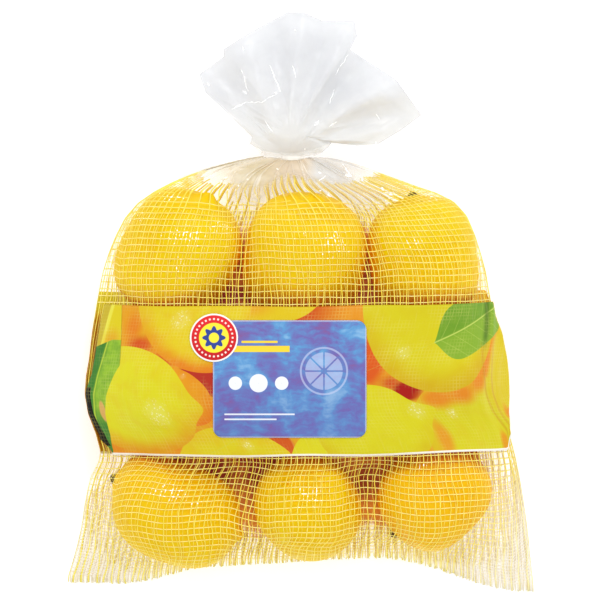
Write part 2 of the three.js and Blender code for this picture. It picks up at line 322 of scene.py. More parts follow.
def makeStudio():
    x, y, z = studio["middle"]
    camera = linked("camera", bpy.data.cameras.new("camera"))
    camera.data.sensor_width = 36
    camera.data.lens = 36 * studio["cameraHeight"] / studio["frameWidth"]
    camera.location = (x, y, z + studio["cameraHeight"])
    bpy.context.scene.camera = camera

    deselectAll()
    bpy.ops.mesh.primitive_plane_add(size=8, location=(0, 0, 0))
    floor = bpy.context.object
    floor.name = "floor"
    settle(floor)
    material, shader, _ = newMaterial("pale floor")
    fill(shader, {
        "Base Color": (0.93, 0.93, 0.93, 1), "Roughness": 0.9, "Specular IOR Level": 0.0,
        "Emission Color": (0.9, 0.93, 1, 1), "Emission Strength": studio["floorGlow"],
    })
    floor.data.materials.append(material)

    light = bpy.data.lights.new("soft key", "AREA")
    light.shape = "DISK"
    light.size = studio["keySize"]
    light.energy = studio["keyPower"]
    key = linked("soft key", light)
    key.location = studio["keyPlace"]
    key.rotation_mode = "QUATERNION"
    key.rotation_quaternion = Vector(studio["keyPlace"]).to_track_quat("Z", "Y")
    key.visible_camera = False

    world = bpy.data.worlds.new("white room")
    world.use_nodes = True
    world.node_tree.nodes["Background"].inputs[0].default_value = (1, 1, 1, 1)
    world.node_tree.nodes["Background"].inputs[1].default_value = studio["sky"]
    bpy.context.scene.world = world
    bpy.context.scene.view_settings.view_transform = "Standard"
    print("studio ready")


makeStudio()


lemonRow = {
    "netGap": 0.6 * mm,     # net between the fruit and the ground
    "sides": 48,
    "rings": 30,
    "bodyShare": 0.91,      # length of the round body, without the tips
    "nippleWidth": 0.25,    # of the girth
    "stemWidth": 0.17,
    "stemFrom": 0.925,      # of half the length
    "lumpSize": 0.02,
    "lumpDepth": 0.0006,
}
# x, y, length, width and thickness in mm, heading and lift of the blossom end in degrees, how far the stem
# end bends to the left of the heading, ripeness from 0 to 1
lemons = [
    (-61.3, 23.0, 74, 59, 57, 62, 17, 0, 0.1),
    (1.8, 21.5, 73, 62.5, 56.8, 80, 27, 0, 0.2),
    (61.4, 21.0, 70.5, 55.4, 56, -80, -6, 0, 0.1),
    (-64.3, -41.8, 60, 57, 57, 80, 10, 0, 0.3),
    (-0.3, -43.0, 61, 56, 56, 88, 5, 0, 0.3),
    (64.8, -40.5, 66, 54, 56, 20, 5, 0, 0.3),
    (-63.0, -106.0, 74, 51.5, 52, -18, -6, 8, 0.35),
    (3.8, -102.9, 60, 52, 51.5, 130, 57, 0, 0.15),
    (67, -96.4, 62, 52, 52, 44, -9, 0, 0.9),
]


def lemonRadius(t):
    # t from -1 at the stem to 1 at the blossom end; 1 is half the girth
    body = max(0, 1 - abs(t / lemonRow["bodyShare"]) ** 2.9) ** 0.42
    width = lemonRow["nippleWidth"] if t > 0 else lemonRow["stemWidth"]
    start = 0.55
    past = (abs(t) - start) / (1 - start)
    tip = width * math.sqrt(max(0, 1 - past ** 3)) if past > 0 else width
    reach = smoothstep(abs(t), 0.3, 0.8)
    return (body ** 5 + (tip * reach) ** 5) ** 0.2


def lemonMaterial():
    material, shader, place = newMaterial("lemon peel")
    broad = grain(place, 16.0, 2.0)
    patch = grain(place, 90.0, 4.0)
    pores = node("TexVoronoi", {"Vector": place, "Scale": 620.0, "Randomness": 0.9}, feature="SMOOTH_F1")
    specks = cells(place, 75.0)
    ripe = mixed(remap(broad, 0.3, 0.7), (234, 204, 0), (233, 192, 0))
    fresh = mixed(remap(patch, 0.35, 0.75, 0.0, 0.6), ripe, (237, 210, 6))
    ripeness = attribute(place, "ripe")
    fresh = mixed(ripeness * 0.8, fresh, (238, 178, 0))
    dimple = remap(pores, 0.0, 0.32, 1.0, 0.0, smooth=True)
    pored = mixed(dimple * 0.22, fresh, (222, 160, 0))
    speckle = remap(specks, 0.05, 0.085, 0.32, 0.0, smooth=True)
    speckled = mixed(speckle, pored, (150, 100, 20))
    # light bounced from fruit to fruit turns the hidden flanks orange
    exposure = node("AmbientOcclusion", {"Distance": 0.03}, "AO", tree=place.tree, samples=8)
    _, y, _ = split(place)
    fromBand = abs(y + bandMiddle)
    shaded = remap(exposure, 0.12, 0.8, 1.0, 0.0) * remap(fromBand, 0.052, 0.092, 0.85, 0.1)
    flank = mixed(shaded, (242, 194, 6), (228, 108, 12))
    colour = mixed(shaded * 0.95, speckled, flank)
    # painted shade: the peel turns dark red along the band's edges
    bandEdgeShade = remap(fromBand, 0.0405, 0.048, 1.0, 0.0) * remap(exposure, 0.5, 1.0, 1.0, 0.15)
    colour = mixed(bandEdgeShade * 0.8, colour, (186, 72, 30))
    # the orange flank colour also glows a little: painted bounced light
    fill(shader, {
        "Base Color": colour, "Normal": bumped(patch * 0.6 - dimple, 0.5, 0.0003),
        "Roughness": 0.45, "Specular IOR Level": 0.12,
        "Emission Color": flank, "Emission Strength": shaded * 0.2,
        "Subsurface Weight": 0.12, "Subsurface Radius": (1.0, 0.6, 0.1), "Subsurface Scale": 0.003,
    })
    return material


def stemMaterial():
    material, shader, place = newMaterial("stem button")
    fibres = grain(place, 900.0, 3.0)
    colour = mixed(remap(fibres, 0.35, 0.65), (44, 24, 8), (112, 80, 26))
    fill(shader, {"Base Color": colour, "Normal": bumped(fibres, 0.6, 0.0004), "Roughness": 0.8})
    return material


def lemonMaster():
    # a disc, drawn up ring by ring from the stem to the blossom end; 1 m long and 1 m in girth
    sides, rings = lemonRow["sides"], lemonRow["rings"]
    ends = [-math.cos(math.pi * (i + 0.35) / (rings + 0.7)) for i in range(rings + 1)]
    deselectAll()
    bpy.ops.mesh.primitive_circle_add(
        vertices=sides, radius=lemonRadius(ends[0]) / 2, fill_type="NGON", location=(0, 0, 0),
    )
    bpy.ops.object.mode_set(mode="EDIT")
    bpy.ops.mesh.select_all(action="SELECT")
    bpy.ops.transform.translate(value=(0, 0, ends[0] / 2))
    for before, after in zip(ends, ends[1:]):
        bpy.ops.mesh.extrude_region_move(TRANSFORM_OT_translate={"value": (0, 0, (after - before) / 2)})
        grow = lemonRadius(after) / lemonRadius(before)
        bpy.ops.transform.resize(value=(grow, grow, 1))
    bpy.ops.mesh.select_all(action="SELECT")
    bpy.ops.mesh.normals_make_consistent(inside=False)
    bpy.ops.object.mode_set(mode="OBJECT")
    master = bpy.context.object
    master.name = "lemonMaster"
    finer = master.modifiers.new("finer", "SUBSURF")
    finer.levels = finer.render_levels = 1
    applyModifiers(master)
    smoothAll(master)
    master.data.materials.clear()
    return master


def makeLemons():
    master = lemonMaster()
    peel, stem = lemonMaterial(), stemMaterial()
    made = []
    for number, (x, y, length, width, thick, heading, lift, bend, ripeness) in enumerate(lemons, 1):
        fruit = linked(f"lemon_{number}", master.data.copy())
        lift = math.radians(lift)
        turn = Matrix.Rotation(math.radians(heading), 4, "Z") @ Matrix.Rotation(math.pi / 2 - lift, 4, "Y")
        size = Matrix.Diagonal((thick * mm, width * mm, length * mm, 1))
        roll = Matrix.Rotation(number * 2.1, 4, "Z")
        for vertex in fruit.data.vertices:
            # uneven flesh: the surface only ever goes inwards
            at = vertex.co * (length * mm / lemonRow["lumpSize"]) + Vector((9.7 * number, 0, 0))
            depth = (noise.noise(at) + 1) * 0.5 * lemonRow["lumpDepth"]
            fold = math.sin(5 * math.atan2(vertex.co.y, vertex.co.x) + number)
            fold *= max(0, abs(vertex.co.z) * 2 - 0.6)
            inwards = Vector((vertex.co.x, vertex.co.y, vertex.co.z * 0.4)).normalized()
            vertex.co -= inwards * (depth / (width * mm) + 0.012 * (fold + 0.4) * (fold > -0.4))
        fruit.data.transform(size @ roll)
        for vertex in fruit.data.vertices:
            vertex.co.y += bend * mm * min(0, vertex.co.z / (length * mm / 2)) ** 2
        fruit.data.transform(turn)
        lowest = min(vertex.co.z for vertex in fruit.data.vertices)
        put = Matrix.Translation((x * mm, y * mm, lemonRow["netGap"] - lowest))
        fruit.data.transform(put)
        dress(fruit, [peel, stem], "net", "net_bag")
        pointValues(fruit, "ripe", np.full(len(fruit.data.vertices), ripeness))
        axis = turn.to_3x3() @ Vector((0, 0, 1))
        centre = put.translation
        for face in fruit.data.polygons:
            along = (face.center - centre).dot(axis) / (length * mm / 2)
            if along < -lemonRow["stemFrom"]:
                face.material_index = 1
        made.append(fruit)
    bpy.data.objects.remove(master)
    print("lemons ready:", len(made))
    return made


fruits = makeLemons()


# the bag's surface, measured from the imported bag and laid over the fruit
bagSurface = {
    "columns": 190,
    "rowsBelow": 64,
    "rowsBand": 44,
    "rowsAbove": 72,
    "edgeCrowding": 0.45,
    "cornerStep": 1.5 * mm,
    "sideBulge": 0.25 * mm,
    "slack": 0.8 * mm,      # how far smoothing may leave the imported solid
    "clearance": 0.2 * mm,  # over the peel
    "ground": 0.3 * mm,
    "sweeps": 30,
    "sagFade": 0.4,
}


def fruitTree():
    bm = bmesh.new()
    for fruit in fruits:
        bm.from_mesh(fruit.data)
    tree = BVHTree.FromBMesh(bm)
    bm.free()
    return tree


def nearSide(skin, sides, side):
    # range of y of the points on the left (-1) or right (1) side edge
    y, left, right = sides
    edge = np.interp(skin["points"][:, 1], y, right if side > 0 else left)
    near = skin["points"][np.abs(skin["points"][:, 0] - edge) < 2 * mm]
    return near[:, 1].min(), near[:, 1].max()


def measureBag():
    bag, band = mergedSkin("net_bag"), mergedSkin("print_band")
    sides, hem = outline(bag, 1), outline(bag, 0)
    bandSides, bandEdges = outline(band, 1), outline(band, 0)
    leftCorner = bag["points"][bag["points"][:, 0].argmin()]
    rightCorner = bag["points"][bag["points"][:, 0].argmax()]
    neckY = bag["points"][:, 1].max()
    leftY = np.array([leftCorner[1], *nearSide(band, bandSides, -1), neckY])
    rightY = np.array([rightCorner[1], *nearSide(band, bandSides, 1), neckY])

    def lineAt(level, share):
        # place on the straight line across the bag at a level: 0 hem, 1 and 2 band, 3 neck
        yLeft, yRight = np.interp(level, range(4), leftY), np.interp(level, range(4), rightY)
        # just above its corners the outline is safe to read
        xLeft = np.interp(np.maximum(yLeft, leftCorner[1] + bagSurface["cornerStep"]), sides[0], sides[1])
        xRight = np.interp(np.maximum(yRight, rightCorner[1] + bagSurface["cornerStep"]), sides[0], sides[2])
        return xLeft + (xRight - xLeft) * share, yLeft + (yRight - yLeft) * share

    shares = np.linspace(0, 1, 201)
    bows = []
    for level, (x, y) in enumerate([hem[:2], bandEdges[:2], bandEdges[::2]]):
        lineX, lineY = lineAt(level, shares)
        bows.append(np.interp(lineX, x, y) - lineY)

    def placeAt(level, share):
        x, y = lineAt(level, share)
        bowHem, bowLow, bowHigh = (np.interp(share, shares, bow) for bow in bows)
        below = bowHem * np.clip(1 - level, 0, 1) ** 1.5 + bowLow * np.clip(level, 0, 1)
        within = bowLow + (bowHigh - bowLow) * np.clip(level - 1, 0, 1)
        above = bowHigh * (1 - smoothstep(level - 2, 0, bagSurface["sagFade"]))
        return x, y + np.where(level < 1, below, np.where(level < 2, within, above))

    even = np.linspace(0, 1, bagSurface["columns"] + 1)
    crowded = (1 - np.cos(np.pi * even)) / 2
    share = np.clip(even + (crowded - even) * bagSurface["edgeCrowding"], 0.001, 0.999)
    level = np.concatenate([
        np.linspace(0.003, 1, bagSurface["rowsBelow"], endpoint=False),
        np.linspace(1, 2, bagSurface["rowsBand"], endpoint=False),
        np.linspace(2, 2.997, bagSurface["rowsAbove"]),
    ])
    levels, shareGrid = np.meshgrid(level, share, indexing="ij")
    x, y = placeAt(levels, shareGrid)
    fruit = fruitTree()
    sheets = []
    for side in (1, -1):
        packed = heights(bag["tree"], x, y, side, np.nan)
        for row in packed:  # a ray that misses at the very edge takes its neighbour's height
            known = ~np.isnan(row)
            row[~known] = np.interp(np.flatnonzero(~known), np.flatnonzero(known), row[known])
        gap = bagSurface["clearance"]
        peel = heights(fruit, x, y, side, -side * 1.0) + side * gap
        low, high = packed - bagSurface["slack"], packed + bagSurface["slack"]
        if side > 0:
            low = np.maximum(low, peel)
            high = np.maximum(high, low)
        else:
            high = np.minimum(high, np.maximum(peel, bagSurface["ground"]))
            low = np.minimum(np.maximum(low, bagSurface["ground"]), high)
        z = np.clip(packed, low, high)
        for _ in range(bagSurface["sweeps"]):
            mean = (z[:-2, 1:-1] + z[2:, 1:-1] + z[1:-1, :-2] + z[1:-1, 2:]) / 4
            z[1:-1, 1:-1] = np.clip(mean, low[1:-1, 1:-1], high[1:-1, 1:-1])
        sheets.append(np.stack([x, y, z], -1))
    # the net and the film close round the sides, half way up between the two sheets
    closed = [sheet.copy() for sheet in sheets]
    for edge in (0, -1):
        middle = (sheets[0][:, edge] + sheets[1][:, edge]) / 2
        middle[:, 0] += (bagSurface["sideBulge"] if edge else -bagSurface["sideBulge"])
        for sheet in closed:
            sheet[:, edge] = middle
    print("bag surface measured, rows and columns", x.shape)
    closed = {1: closed[0], -1: closed[1]}
    return {"level": level, "share": share, 1: sheets[0], -1: sheets[1], "closed": closed}


bag = measureBag()


def lengths(grid, axis):
    # running length along the rows (axis 1) or columns (axis 0) of a grid of places
    step = np.linalg.norm(np.diff(grid, axis=axis), axis=-1)
    start = np.zeros_like(np.take(step, [0], axis=axis))
    return np.cumsum(np.concatenate([start, step], axis=axis), axis=axis)


def softened(values, axis, reach):
    # mean over neighbours on both sides, with the ends held
    padded = np.concatenate(
        [np.repeat(np.take(values, [0], axis), reach, axis), values,
         np.repeat(np.take(values, [-1], axis), reach, axis)], axis,
    )
    total = np.cumsum(padded, axis)
    zero = np.zeros_like(np.take(total, [0], axis))
    total = np.concatenate([zero, total], axis)
    window = 2 * reach + 1
    count = values.shape[axis]
    return (np.take(total, range(window, window + count), axis) - np.take(total, range(count), axis)) / window


def normalsOf(grid, side):
    across = np.gradient(grid, axis=1)
    up = np.gradient(grid, axis=0)
    normal = np.cross(across, up) * side
    return normal / np.maximum(np.linalg.norm(normal, axis=-1, keepdims=True), 1e-12)


def evenColumns(grid, count):
    # the same surface with its columns at even lengths across the cloth
    run = lengths(grid, 1)
    share = softened(run / run[:, -1:], 0, 6)
    share[:9] = share[9]
    wanted = np.linspace(0, 1, count)
    columns = np.arange(grid.shape[1])
    spread = np.empty((grid.shape[0], count, 3))
    for j, row in enumerate(grid):
        at = np.interp(wanted, share[j] / share[j, -1], columns)
        for axis in range(3):
            spread[j, :, axis] = np.interp(at, columns, row[:, axis])
    return spread


net = {
    "warps": 68,            # heavy threads from the hem to the neck, on each side
    "rowPitch": 3.4 * mm,
    "warpWidth": 0.54 * mm,
    "weftWidth": 0.48 * mm,
    "fineWidth": 0.24 * mm,
    "thickness": 0.22 * mm,
    "step": 1.9 * mm,
    "sway": 0.16,           # of the pitch
    "swayWaves": (0.33, 0.12),  # of two waves along a thread, radians for each row of the bag
    "calm": (2.45, 2.65),   # levels between which the swaying ends
    "gather": (2.62, 2.8),  # levels between which threads become strands
    "strand": 1.5,          # width of a strand, in threads
    "crowding": 900,        # threads get thinner where two columns are nearer than 1 m divided by this
    "thinnest": 0.4,        # of the width
    "lifts": (0.12 * mm, 0.1 * mm, 0.05 * mm),  # of heavy, fine and loose fine threads off the bag
    "weftLift": 0.12 * mm,
    "loosePlaces": (0.6, 2.4),  # of the loose fine threads between two heavy ones that are 3 apart
    "slackHeights": (9 * mm, 22 * mm),    # between which heavy and fine threads change from slack to tight
    "weftHeights": (10 * mm, 24 * mm),    # the same for cross threads
    "slackWeft": 0.85,      # width of a slack cross thread
    "glow": 0.1,            # light that comes through a thread
    "slackGlow": 0.1,       # the same where the net lies slack
    "fineTop": 2.62,        # level where the fine threads run into the heavy ones
    "weftTop": (2.9, 2.7),  # level of the last cross threads at the sides and in the middle
    # where the heavy threads end: share across the bag, level
    "warpTop": [
        (0, 2.91), (0.1, 2.88), (0.2, 2.81), (0.35, 2.83), (0.5, 2.88), (0.62, 2.86), (0.72, 2.81),
        (0.85, 2.85), (1, 2.9),
    ],
    "fan": (0.2, 0.83),     # shares across the bag between which threads gather near the neck
    "fanEnd": (2.62, 2.7),  # level where every second thread stops there
    "frayed": (1.2 * mm, 2.1 * mm),  # how far the thread ends stand out from the hem
    "lowest": 0.35 * mm,    # of the thread ends
    "bareEnd": 1.5 * mm,    # without cross threads
    "slackBelow": 13 * mm,  # height under which the net lies slack and its threads lie closer
    "slackWider": (0.7, 1.4),  # how much wider heavy and fine threads are where the net lies slack
}
# where threads catch the light: x, y, reach along x and y in mm, strength
netGlints = [
    (-57, 33, 24, 9, 1.0), (-40, 36, 12, 8, 1.0), (-60, 18, 7, 12, 0.8), (16.5, 29, 13, 14, 1.0),
    (57, 30, 11, 11, 0.85), (-66, -95, 20, 9, 1.0), (-52, -101, 9, 5, 0.9), (4.5, -96, 15, 11, 1.0),
    (62, -82, 8, 4, 1.0), (-35, 56, 6, 3, 0.9), (-80, 42, 12, 6, 0.75), (-64, 51.5, 13, 5, 1.0),
    (0, 34, 10, 12, 0.7), (66, 51.5, 11, 5, 0.95), (45, 53, 6, 6, 0.85),
]


def tapes(name, runs, width, thickness):
    # flat threads with a four-sided section along runs of places and normals
    points, faces, count = [], [], 0
    for places, normals, widths in runs:
        way = np.gradient(places, axis=0)
        side = np.cross(way, normals)
        side /= np.maximum(np.linalg.norm(side, axis=1, keepdims=True), 1e-12)
        half = side * (width * widths[:, None] / 2)
        rise = normals * (thickness * np.minimum(1, widths[:, None]) / 2)
        ring = np.stack([places - half, places - rise, places + half, places + rise], 1)
        points.append(ring.reshape(-1, 3))
        faces.append(gridFaces(len(places), 4, cyclic=True)[:, ::-1] + count)
        faces.append(np.array([[0, 1, 2, 3], [4 * len(places) - 1 - k for k in range(4)]]) + count)
        count += 4 * len(places)
    return meshPiece(name, np.concatenate(points), np.concatenate(faces))


def pick(grid, rows, columns):
    # places on a grid at fractional rows and columns
    rows, columns = np.broadcast_arrays(rows, columns)
    j = np.clip(np.floor(rows).astype(int), 0, grid.shape[0] - 2)
    i = np.clip(np.floor(columns).astype(int), 0, grid.shape[1] - 2)
    fj, fi = (rows - j)[..., None], (columns - i)[..., None]
    low = grid[j, i] * (1 - fi) + grid[j, i + 1] * fi
    high = grid[j + 1, i] * (1 - fi) + grid[j + 1, i + 1] * fi
    return low * (1 - fj) + high * fj


def netRuns(sheet, side, seed):
    draw = np.random.default_rng(seed)
    perWarp = 3
    grid = evenColumns(sheet, net["warps"] * perWarp + 1)
    normals = normalsOf(grid, side)
    run = softened(lengths(grid, 0), 1, 2)
    rows = np.arange(grid.shape[0])
    last = grid.shape[1] - 1
    bandLow = np.searchsorted(bag["level"], 1.0)
    bandHigh = np.searchsorted(bag["level"], 2.0)
    warps, fines, wefts = [], [], []

    def warpRun(column, start, end, lift, gather, wider):
        # one thread at a column, from one row to another, at even steps
        column = np.clip(column, 0, last)
        here = pick(run[..., None], rows, np.full(len(rows), column))[:, 0]
        steps = max(3, int((here[end] - here[start]) / net["step"]))
        at = np.interp(np.linspace(here[start], here[end], steps), here, rows)
        phase = draw.uniform(0, 2 * np.pi, 2)
        sway = sum(np.sin(at * wave + shift) for wave, shift in zip(net["swayWaves"], phase))
        level = np.interp(at, rows, bag["level"])
        sway *= 1 - 0.8 * smoothstep(level, *net["calm"])
        columns = np.clip(column + sway * net["sway"] * perWarp / 2, 0, last)
        places, up = pick(grid, at, columns), pick(normals, at, columns)
        if start == 0:
            out = places[0] - places[1]
            places[0] += out / np.linalg.norm(out) * draw.uniform(*net["frayed"])
            places[0, 2] = max(places[0, 2], net["lowest"])
        # threads get thinner where they crowd at the neck
        right, left = (pick(grid, at, np.clip(columns + step, 0, last)) for step in (1, -1))
        room = np.linalg.norm(right - left, axis=1)
        gathered = gather * smoothstep(level, *net["gather"])
        widths = np.clip(room * net["crowding"], net["thinnest"], 1.0)
        widths = widths * (1 - gathered) + net["strand"] * gathered
        # drawn together where the net lies slack
        slack = 1 - smoothstep(places[:, 2], *net["slackHeights"])
        return places + up * lift, up, widths * (1 + wider * slack)

    fineEnd = np.searchsorted(bag["level"], net["fineTop"])
    lowEnd, highStart = bandLow + 2, bandHigh - 2
    warpLift, fineLift, looseLift = net["lifts"]
    warpWider, fineWider = net["slackWider"]
    for k in range(net["warps"] + 1):
        column = k * perWarp + (draw.uniform(-0.35, 0.35) if 0 < k < net["warps"] else 0)
        aside = perWarp / 2 if side < 0 and 0 < k < net["warps"] else 0
        # near the neck every second thread stops and the others gather into thicker strands
        top = np.interp(column / last, *zip(*net["warpTop"])) + draw.uniform(-0.012, 0.012)
        inFan = net["fan"][0] < column / last < net["fan"][1]
        top = np.searchsorted(bag["level"], draw.uniform(*net["fanEnd"]) if inFan and k % 2 else top)
        spans = [(0, lowEnd), (highStart, top)]
        if k < 4 or k > net["warps"] - 3:
            spans = [(0, top)]
        for start, end in spans:
            here = column + aside * (start == 0 and end == lowEnd)
            warps.append(warpRun(here, start, end, warpLift, inFan and k % 2 == 0, warpWider))
            if k < net["warps"]:
                here = column + draw.uniform(1.1, 1.9)
                fines.append(warpRun(here, start, min(end, fineEnd), fineLift, 0, fineWider))
                lifted = grid[:lowEnd, k * perWarp, 2] > net["slackBelow"]
                reach = int(np.argmax(lifted)) if lifted.any() else lowEnd
                if start == 0 and reach > 3:
                    for loose in net["loosePlaces"]:
                        here = column + draw.uniform(-0.3, 0.3) + loose
                        fines.append(warpRun(here, 0, reach, looseLift, 0, fineWider))

    def weftRuns(start, stop, direction):
        # rows at even lengths of cloth from an edge of the band
        length = (run - run[start]) * direction
        most = length[stop].max()
        count = int(most / net["rowPitch"]) + 1
        # every second of these rows shows only where the net lies slack
        for n in range(0, 2 * count, 1 if direction < 0 else 2):
            wanted = (n / 2 + 0.35) * net["rowPitch"]
            at = np.full(grid.shape[1], np.nan)
            for i in range(grid.shape[1]):
                if length[stop, i] > wanted + net["bareEnd"]:
                    span = slice(start, stop + 1) if direction > 0 else slice(stop, start + 1)
                    reach, index = length[span, i], rows[span]
                    at[i] = np.interp(wanted * direction, reach * direction, index)
            offMiddle = np.abs(np.linspace(-1, 1, grid.shape[1]))
            sides, middle = net["weftTop"]
            top = middle + (sides - middle) * smoothstep(offMiddle, 0.5, 1.0)
            at[at > np.searchsorted(bag["level"], top)] = np.nan
            if n % 2:
                height = pick(grid, np.nan_to_num(at), np.arange(grid.shape[1]))[:, 2]
                at[height > net["slackBelow"]] = np.nan
            known = np.flatnonzero(~np.isnan(at))
            for piece in np.split(known, np.flatnonzero(np.diff(known) > 1) + 1):
                if len(piece) < 6:
                    continue
                wave = np.sin(piece * 0.21 + draw.uniform(0, 6.3)) * 0.12
                wave += np.sin(piece * 0.9 + draw.uniform(0, 6.3)) * 0.05
                there = np.clip(softened(at[piece], 0, 1) + wave, 0, grid.shape[0] - 1)
                places, up = pick(grid, there, piece.astype(float)), pick(normals, there, piece.astype(float))
                tight = smoothstep(places[:, 2], *net["weftHeights"])
                raised = up * (net["weftLift"] * (1 - tight))[:, None]
                wefts.append((places + raised, up, net["slackWeft"] + (1 - net["slackWeft"]) * tight))

    weftRuns(bandLow, 0, -1)
    weftRuns(bandHigh, grid.shape[0] - 1, 1)
    return warps, fines, wefts


def sparkleGroup():
    # white glints on the threads over the crowns of the fruit
    tree, out, place = newGroup("thread glints", {"Place": "v"}, "Mask", "n")
    total = 0.0
    for x, y, reachX, reachY, strength in netGlints:
        off = vector("SUBTRACT", place, (x * mm, y * mm, 0))
        away = vector("LENGTH", vector("MULTIPLY", off, (1 / (reachX * mm), 1 / (reachY * mm), 0)))
        total = calc("MAXIMUM", total, remap(away, 0.2, 1.0, strength, 0.0))
    fill(out, {"Mask": remap(grain(place, 780.0, 1.0) - (1.0 - total) * 0.3, 0.54, 0.58)})
    return tree


def threadMaterial(name, colour, shade, slack, sparkle):
    material, shader, place = newMaterial(name)
    uneven = grain(place, 260.0, 2.0)
    thread = mixed(remap(uneven, 0.35, 0.65), colour, shade)
    # paler where the net lies slack beside the fruit
    x, y, z = split(place)
    low = remap(z, 0.024, 0.01)
    aside = abs(x)
    loose = mixed(remap(aside, 0.064, 0.084, 0.55, 0.0), slack, colour)
    loose = mixed(remap(x, 0.074, 0.09, 0.0, 0.45), loose, (250, 245, 232))
    thread = mixed(low, thread, loose)
    # brighter where light comes through under the film
    neck = remap(y, 0.046, 0.056)
    thread = mixed(neck, thread, (248, 224, 84))
    glint = useGroup(sparkle, place)
    lit = mixed(glint, thread, (1, 1, 1, 1))
    glow = remap(low, 0.0, 1.0, net["glow"], net["slackGlow"])
    glow = calc("MAXIMUM", glow, neck * 0.16)
    twist = grain(place, 2600.0, 1.0)
    fill(shader, {
        "Base Color": lit, "Emission Color": lit, "Emission Strength": calc("MAXIMUM", glow, glint * 0.35),
        "Normal": bumped(twist, 0.3, 0.0001), "Roughness": 0.32, "Specular IOR Level": 0.3,
    })
    return material


def makeNet():
    sparkle = sparkleGroup()
    heavy = threadMaterial("net warp", (248, 231, 104), (241, 219, 72), (244, 226, 100), sparkle)
    fine = threadMaterial("net fine warp", (247, 231, 110), (240, 218, 74), (245, 235, 208), sparkle)
    cross = threadMaterial("net weft", (253, 239, 158), (248, 230, 116), (246, 238, 226), sparkle)
    for label, side in (("front", 1), ("back", -1)):
        warps, fines, wefts = netRuns(bag["closed"][side], side, 5)
        for kind, runs, width, material in (
            ("warps", warps, net["warpWidth"], heavy),
            ("fine_warps", fines, net["fineWidth"], fine),
            ("wefts", wefts, net["weftWidth"], cross),
        ):
            piece = tapes(f"net_{label}_{kind}", runs, width, min(width, net["thickness"]))
            dress(piece, [material], "net", "net_bag")
            print(piece.name, "triangles", sum(len(f.vertices) - 2 for f in piece.data.polygons))


makeNet()


def onBag(side, level, share, lift=0.0, closed=False):
    # places over the front (side 1) or back (side -1) sheet, raised off it
    grid = bag["closed"][side] if closed else bag[side]
    rows = np.interp(level, bag["level"], np.arange(len(bag["level"])))
    columns = np.interp(share, bag["share"], np.arange(len(bag["share"])))
    normals = pick(normalsOf(bag[side], side), rows, columns)
    return pick(grid, rows, columns) + normals * np.asarray(lift)[..., None]


# a dark, slightly wrinkled sheet between the fruit, seen through the front net: painted shade and painted
# bounced light in the gaps between them
gapShade = {
    "rows": 90,
    "columns": 110,
    "depth": 0.42,          # from the front sheet (0) to the back sheet (1)
    "levels": (0.25, 2.62),
    "shares": (0.16, 0.85),
    "fullLevels": (0.6, 2.2),    # inside these it covers fully
    "fullShares": (0.2, 0.81),
    "wrinkle": 2.2 * mm,
    "thickness": 0.4 * mm,
}


def gapShadeMaterial():
    material, shader, place = newMaterial("painted gap shade")
    x, y, _ = split(place)
    patch = grain(place, 70.0, 2.0)
    weave = cells(place, 420.0)
    # painted shade: dark red near the band, lighter orange further from it, mottled, with a darker weave
    away = abs(y + bandMiddle)
    near = remap(away, 0.052, 0.076, 0.0, 1.0)
    deepShade = mixed(near, (142, 40, 22), (230, 152, 40))
    ochre = remap(patch, 0.42, 0.6, 0.0, 0.55) + remap(x, 0.02, 0.04, 0.0, 0.3)
    mottled = mixed(ochre, deepShade, (218, 138, 40))
    colour = mixed(remap(weave, 0.0, 0.5, 0.3, 0.0), mottled, (96, 24, 8))
    cover = attribute(place, "cover")
    # the slight glow is painted bounced light
    fill(shader, {
        "Base Color": colour, "Emission Color": colour, "Emission Strength": 0.14,
        "Alpha": remap(cover + patch, 0.55, 1.1), "Roughness": 0.7,
    })
    return material


def makeGapShade():
    level = np.linspace(*gapShade["levels"], gapShade["rows"])
    share = np.linspace(*gapShade["shares"], gapShade["columns"])
    levels, shares = np.meshgrid(level, share, indexing="ij")
    front, back = onBag(1, levels, shares), onBag(-1, levels, shares)
    grid = front + (back - front) * gapShade["depth"]
    for index in np.ndindex(grid.shape[:2]):
        x, y, _ = grid[index]
        grid[index][2] += noise.noise(Vector((x * 90, y * 60, 3.3))) * gapShade["wrinkle"]
    piece = sheetPiece("gap_shade_sheet", grid)
    # it fades away at its edges
    cover = plateau(levels, *sorted(gapShade["levels"] + gapShade["fullLevels"]))
    cover *= plateau(shares, *sorted(gapShade["shares"] + gapShade["fullShares"]))
    pointValues(piece, "cover", cover)
    thicken(piece, gapShade["thickness"])
    dress(piece, [gapShadeMaterial()], "net", "net_bag")
    print("painted gap shade ready")


makeGapShade()


band = {
    "rows": 64,
    "columns": 420,
    "samples": 400,         # of each of its rows on the bag
    "lift": 0.6 * mm,       # over the net
    "lowest": 0.04 * mm,
    "thickness": 0.12 * mm,
    "length": 75,           # mm of print from the lower edge (v 0) to the upper edge (v 75)
    # left edge of the front sheet: v and distance from the bag's left side, mm
    "leftEdge": [(0, 7.3), (4, 5.3), (7, 2.0), (21.5, 0.2), (32, 1.0), (40, 4.0), (57, 4.3), (75, 5.0)],
    "backRise": 6.5,        # how much further up the back sheet stands at either side, mm
    "backRiseEnd": (0.15, 0.19),  # shares of the width between which that stops at the left
    "backRiseStart": (0.012, 0.12, 0.18),  # shares from the right side where it starts, and ends again
    "backShows": (60, 68),  # v between which the back sheet starts to show over the front one
    "middle": 37,           # v at which folds and creases have their place
    "seam": (17, 0.19),     # u at the upper edge, and how fast it goes right below that
    "seamGroove": (0.8, 0.35, 44),  # width in mm, share of the depth, v of its lower end
    # upright folds: u, lean, width in mm, share of the depth
    "folds": [(213, 0.12, 2.6, 1.0), (219, -0.1, 2.2, 0.9), (226, 0.06, 1.8, 0.7), (206, 0.3, 2.4, 0.45)],
    "foldDepth": 0.5 * mm,
    "waves": 0.25 * mm,
}
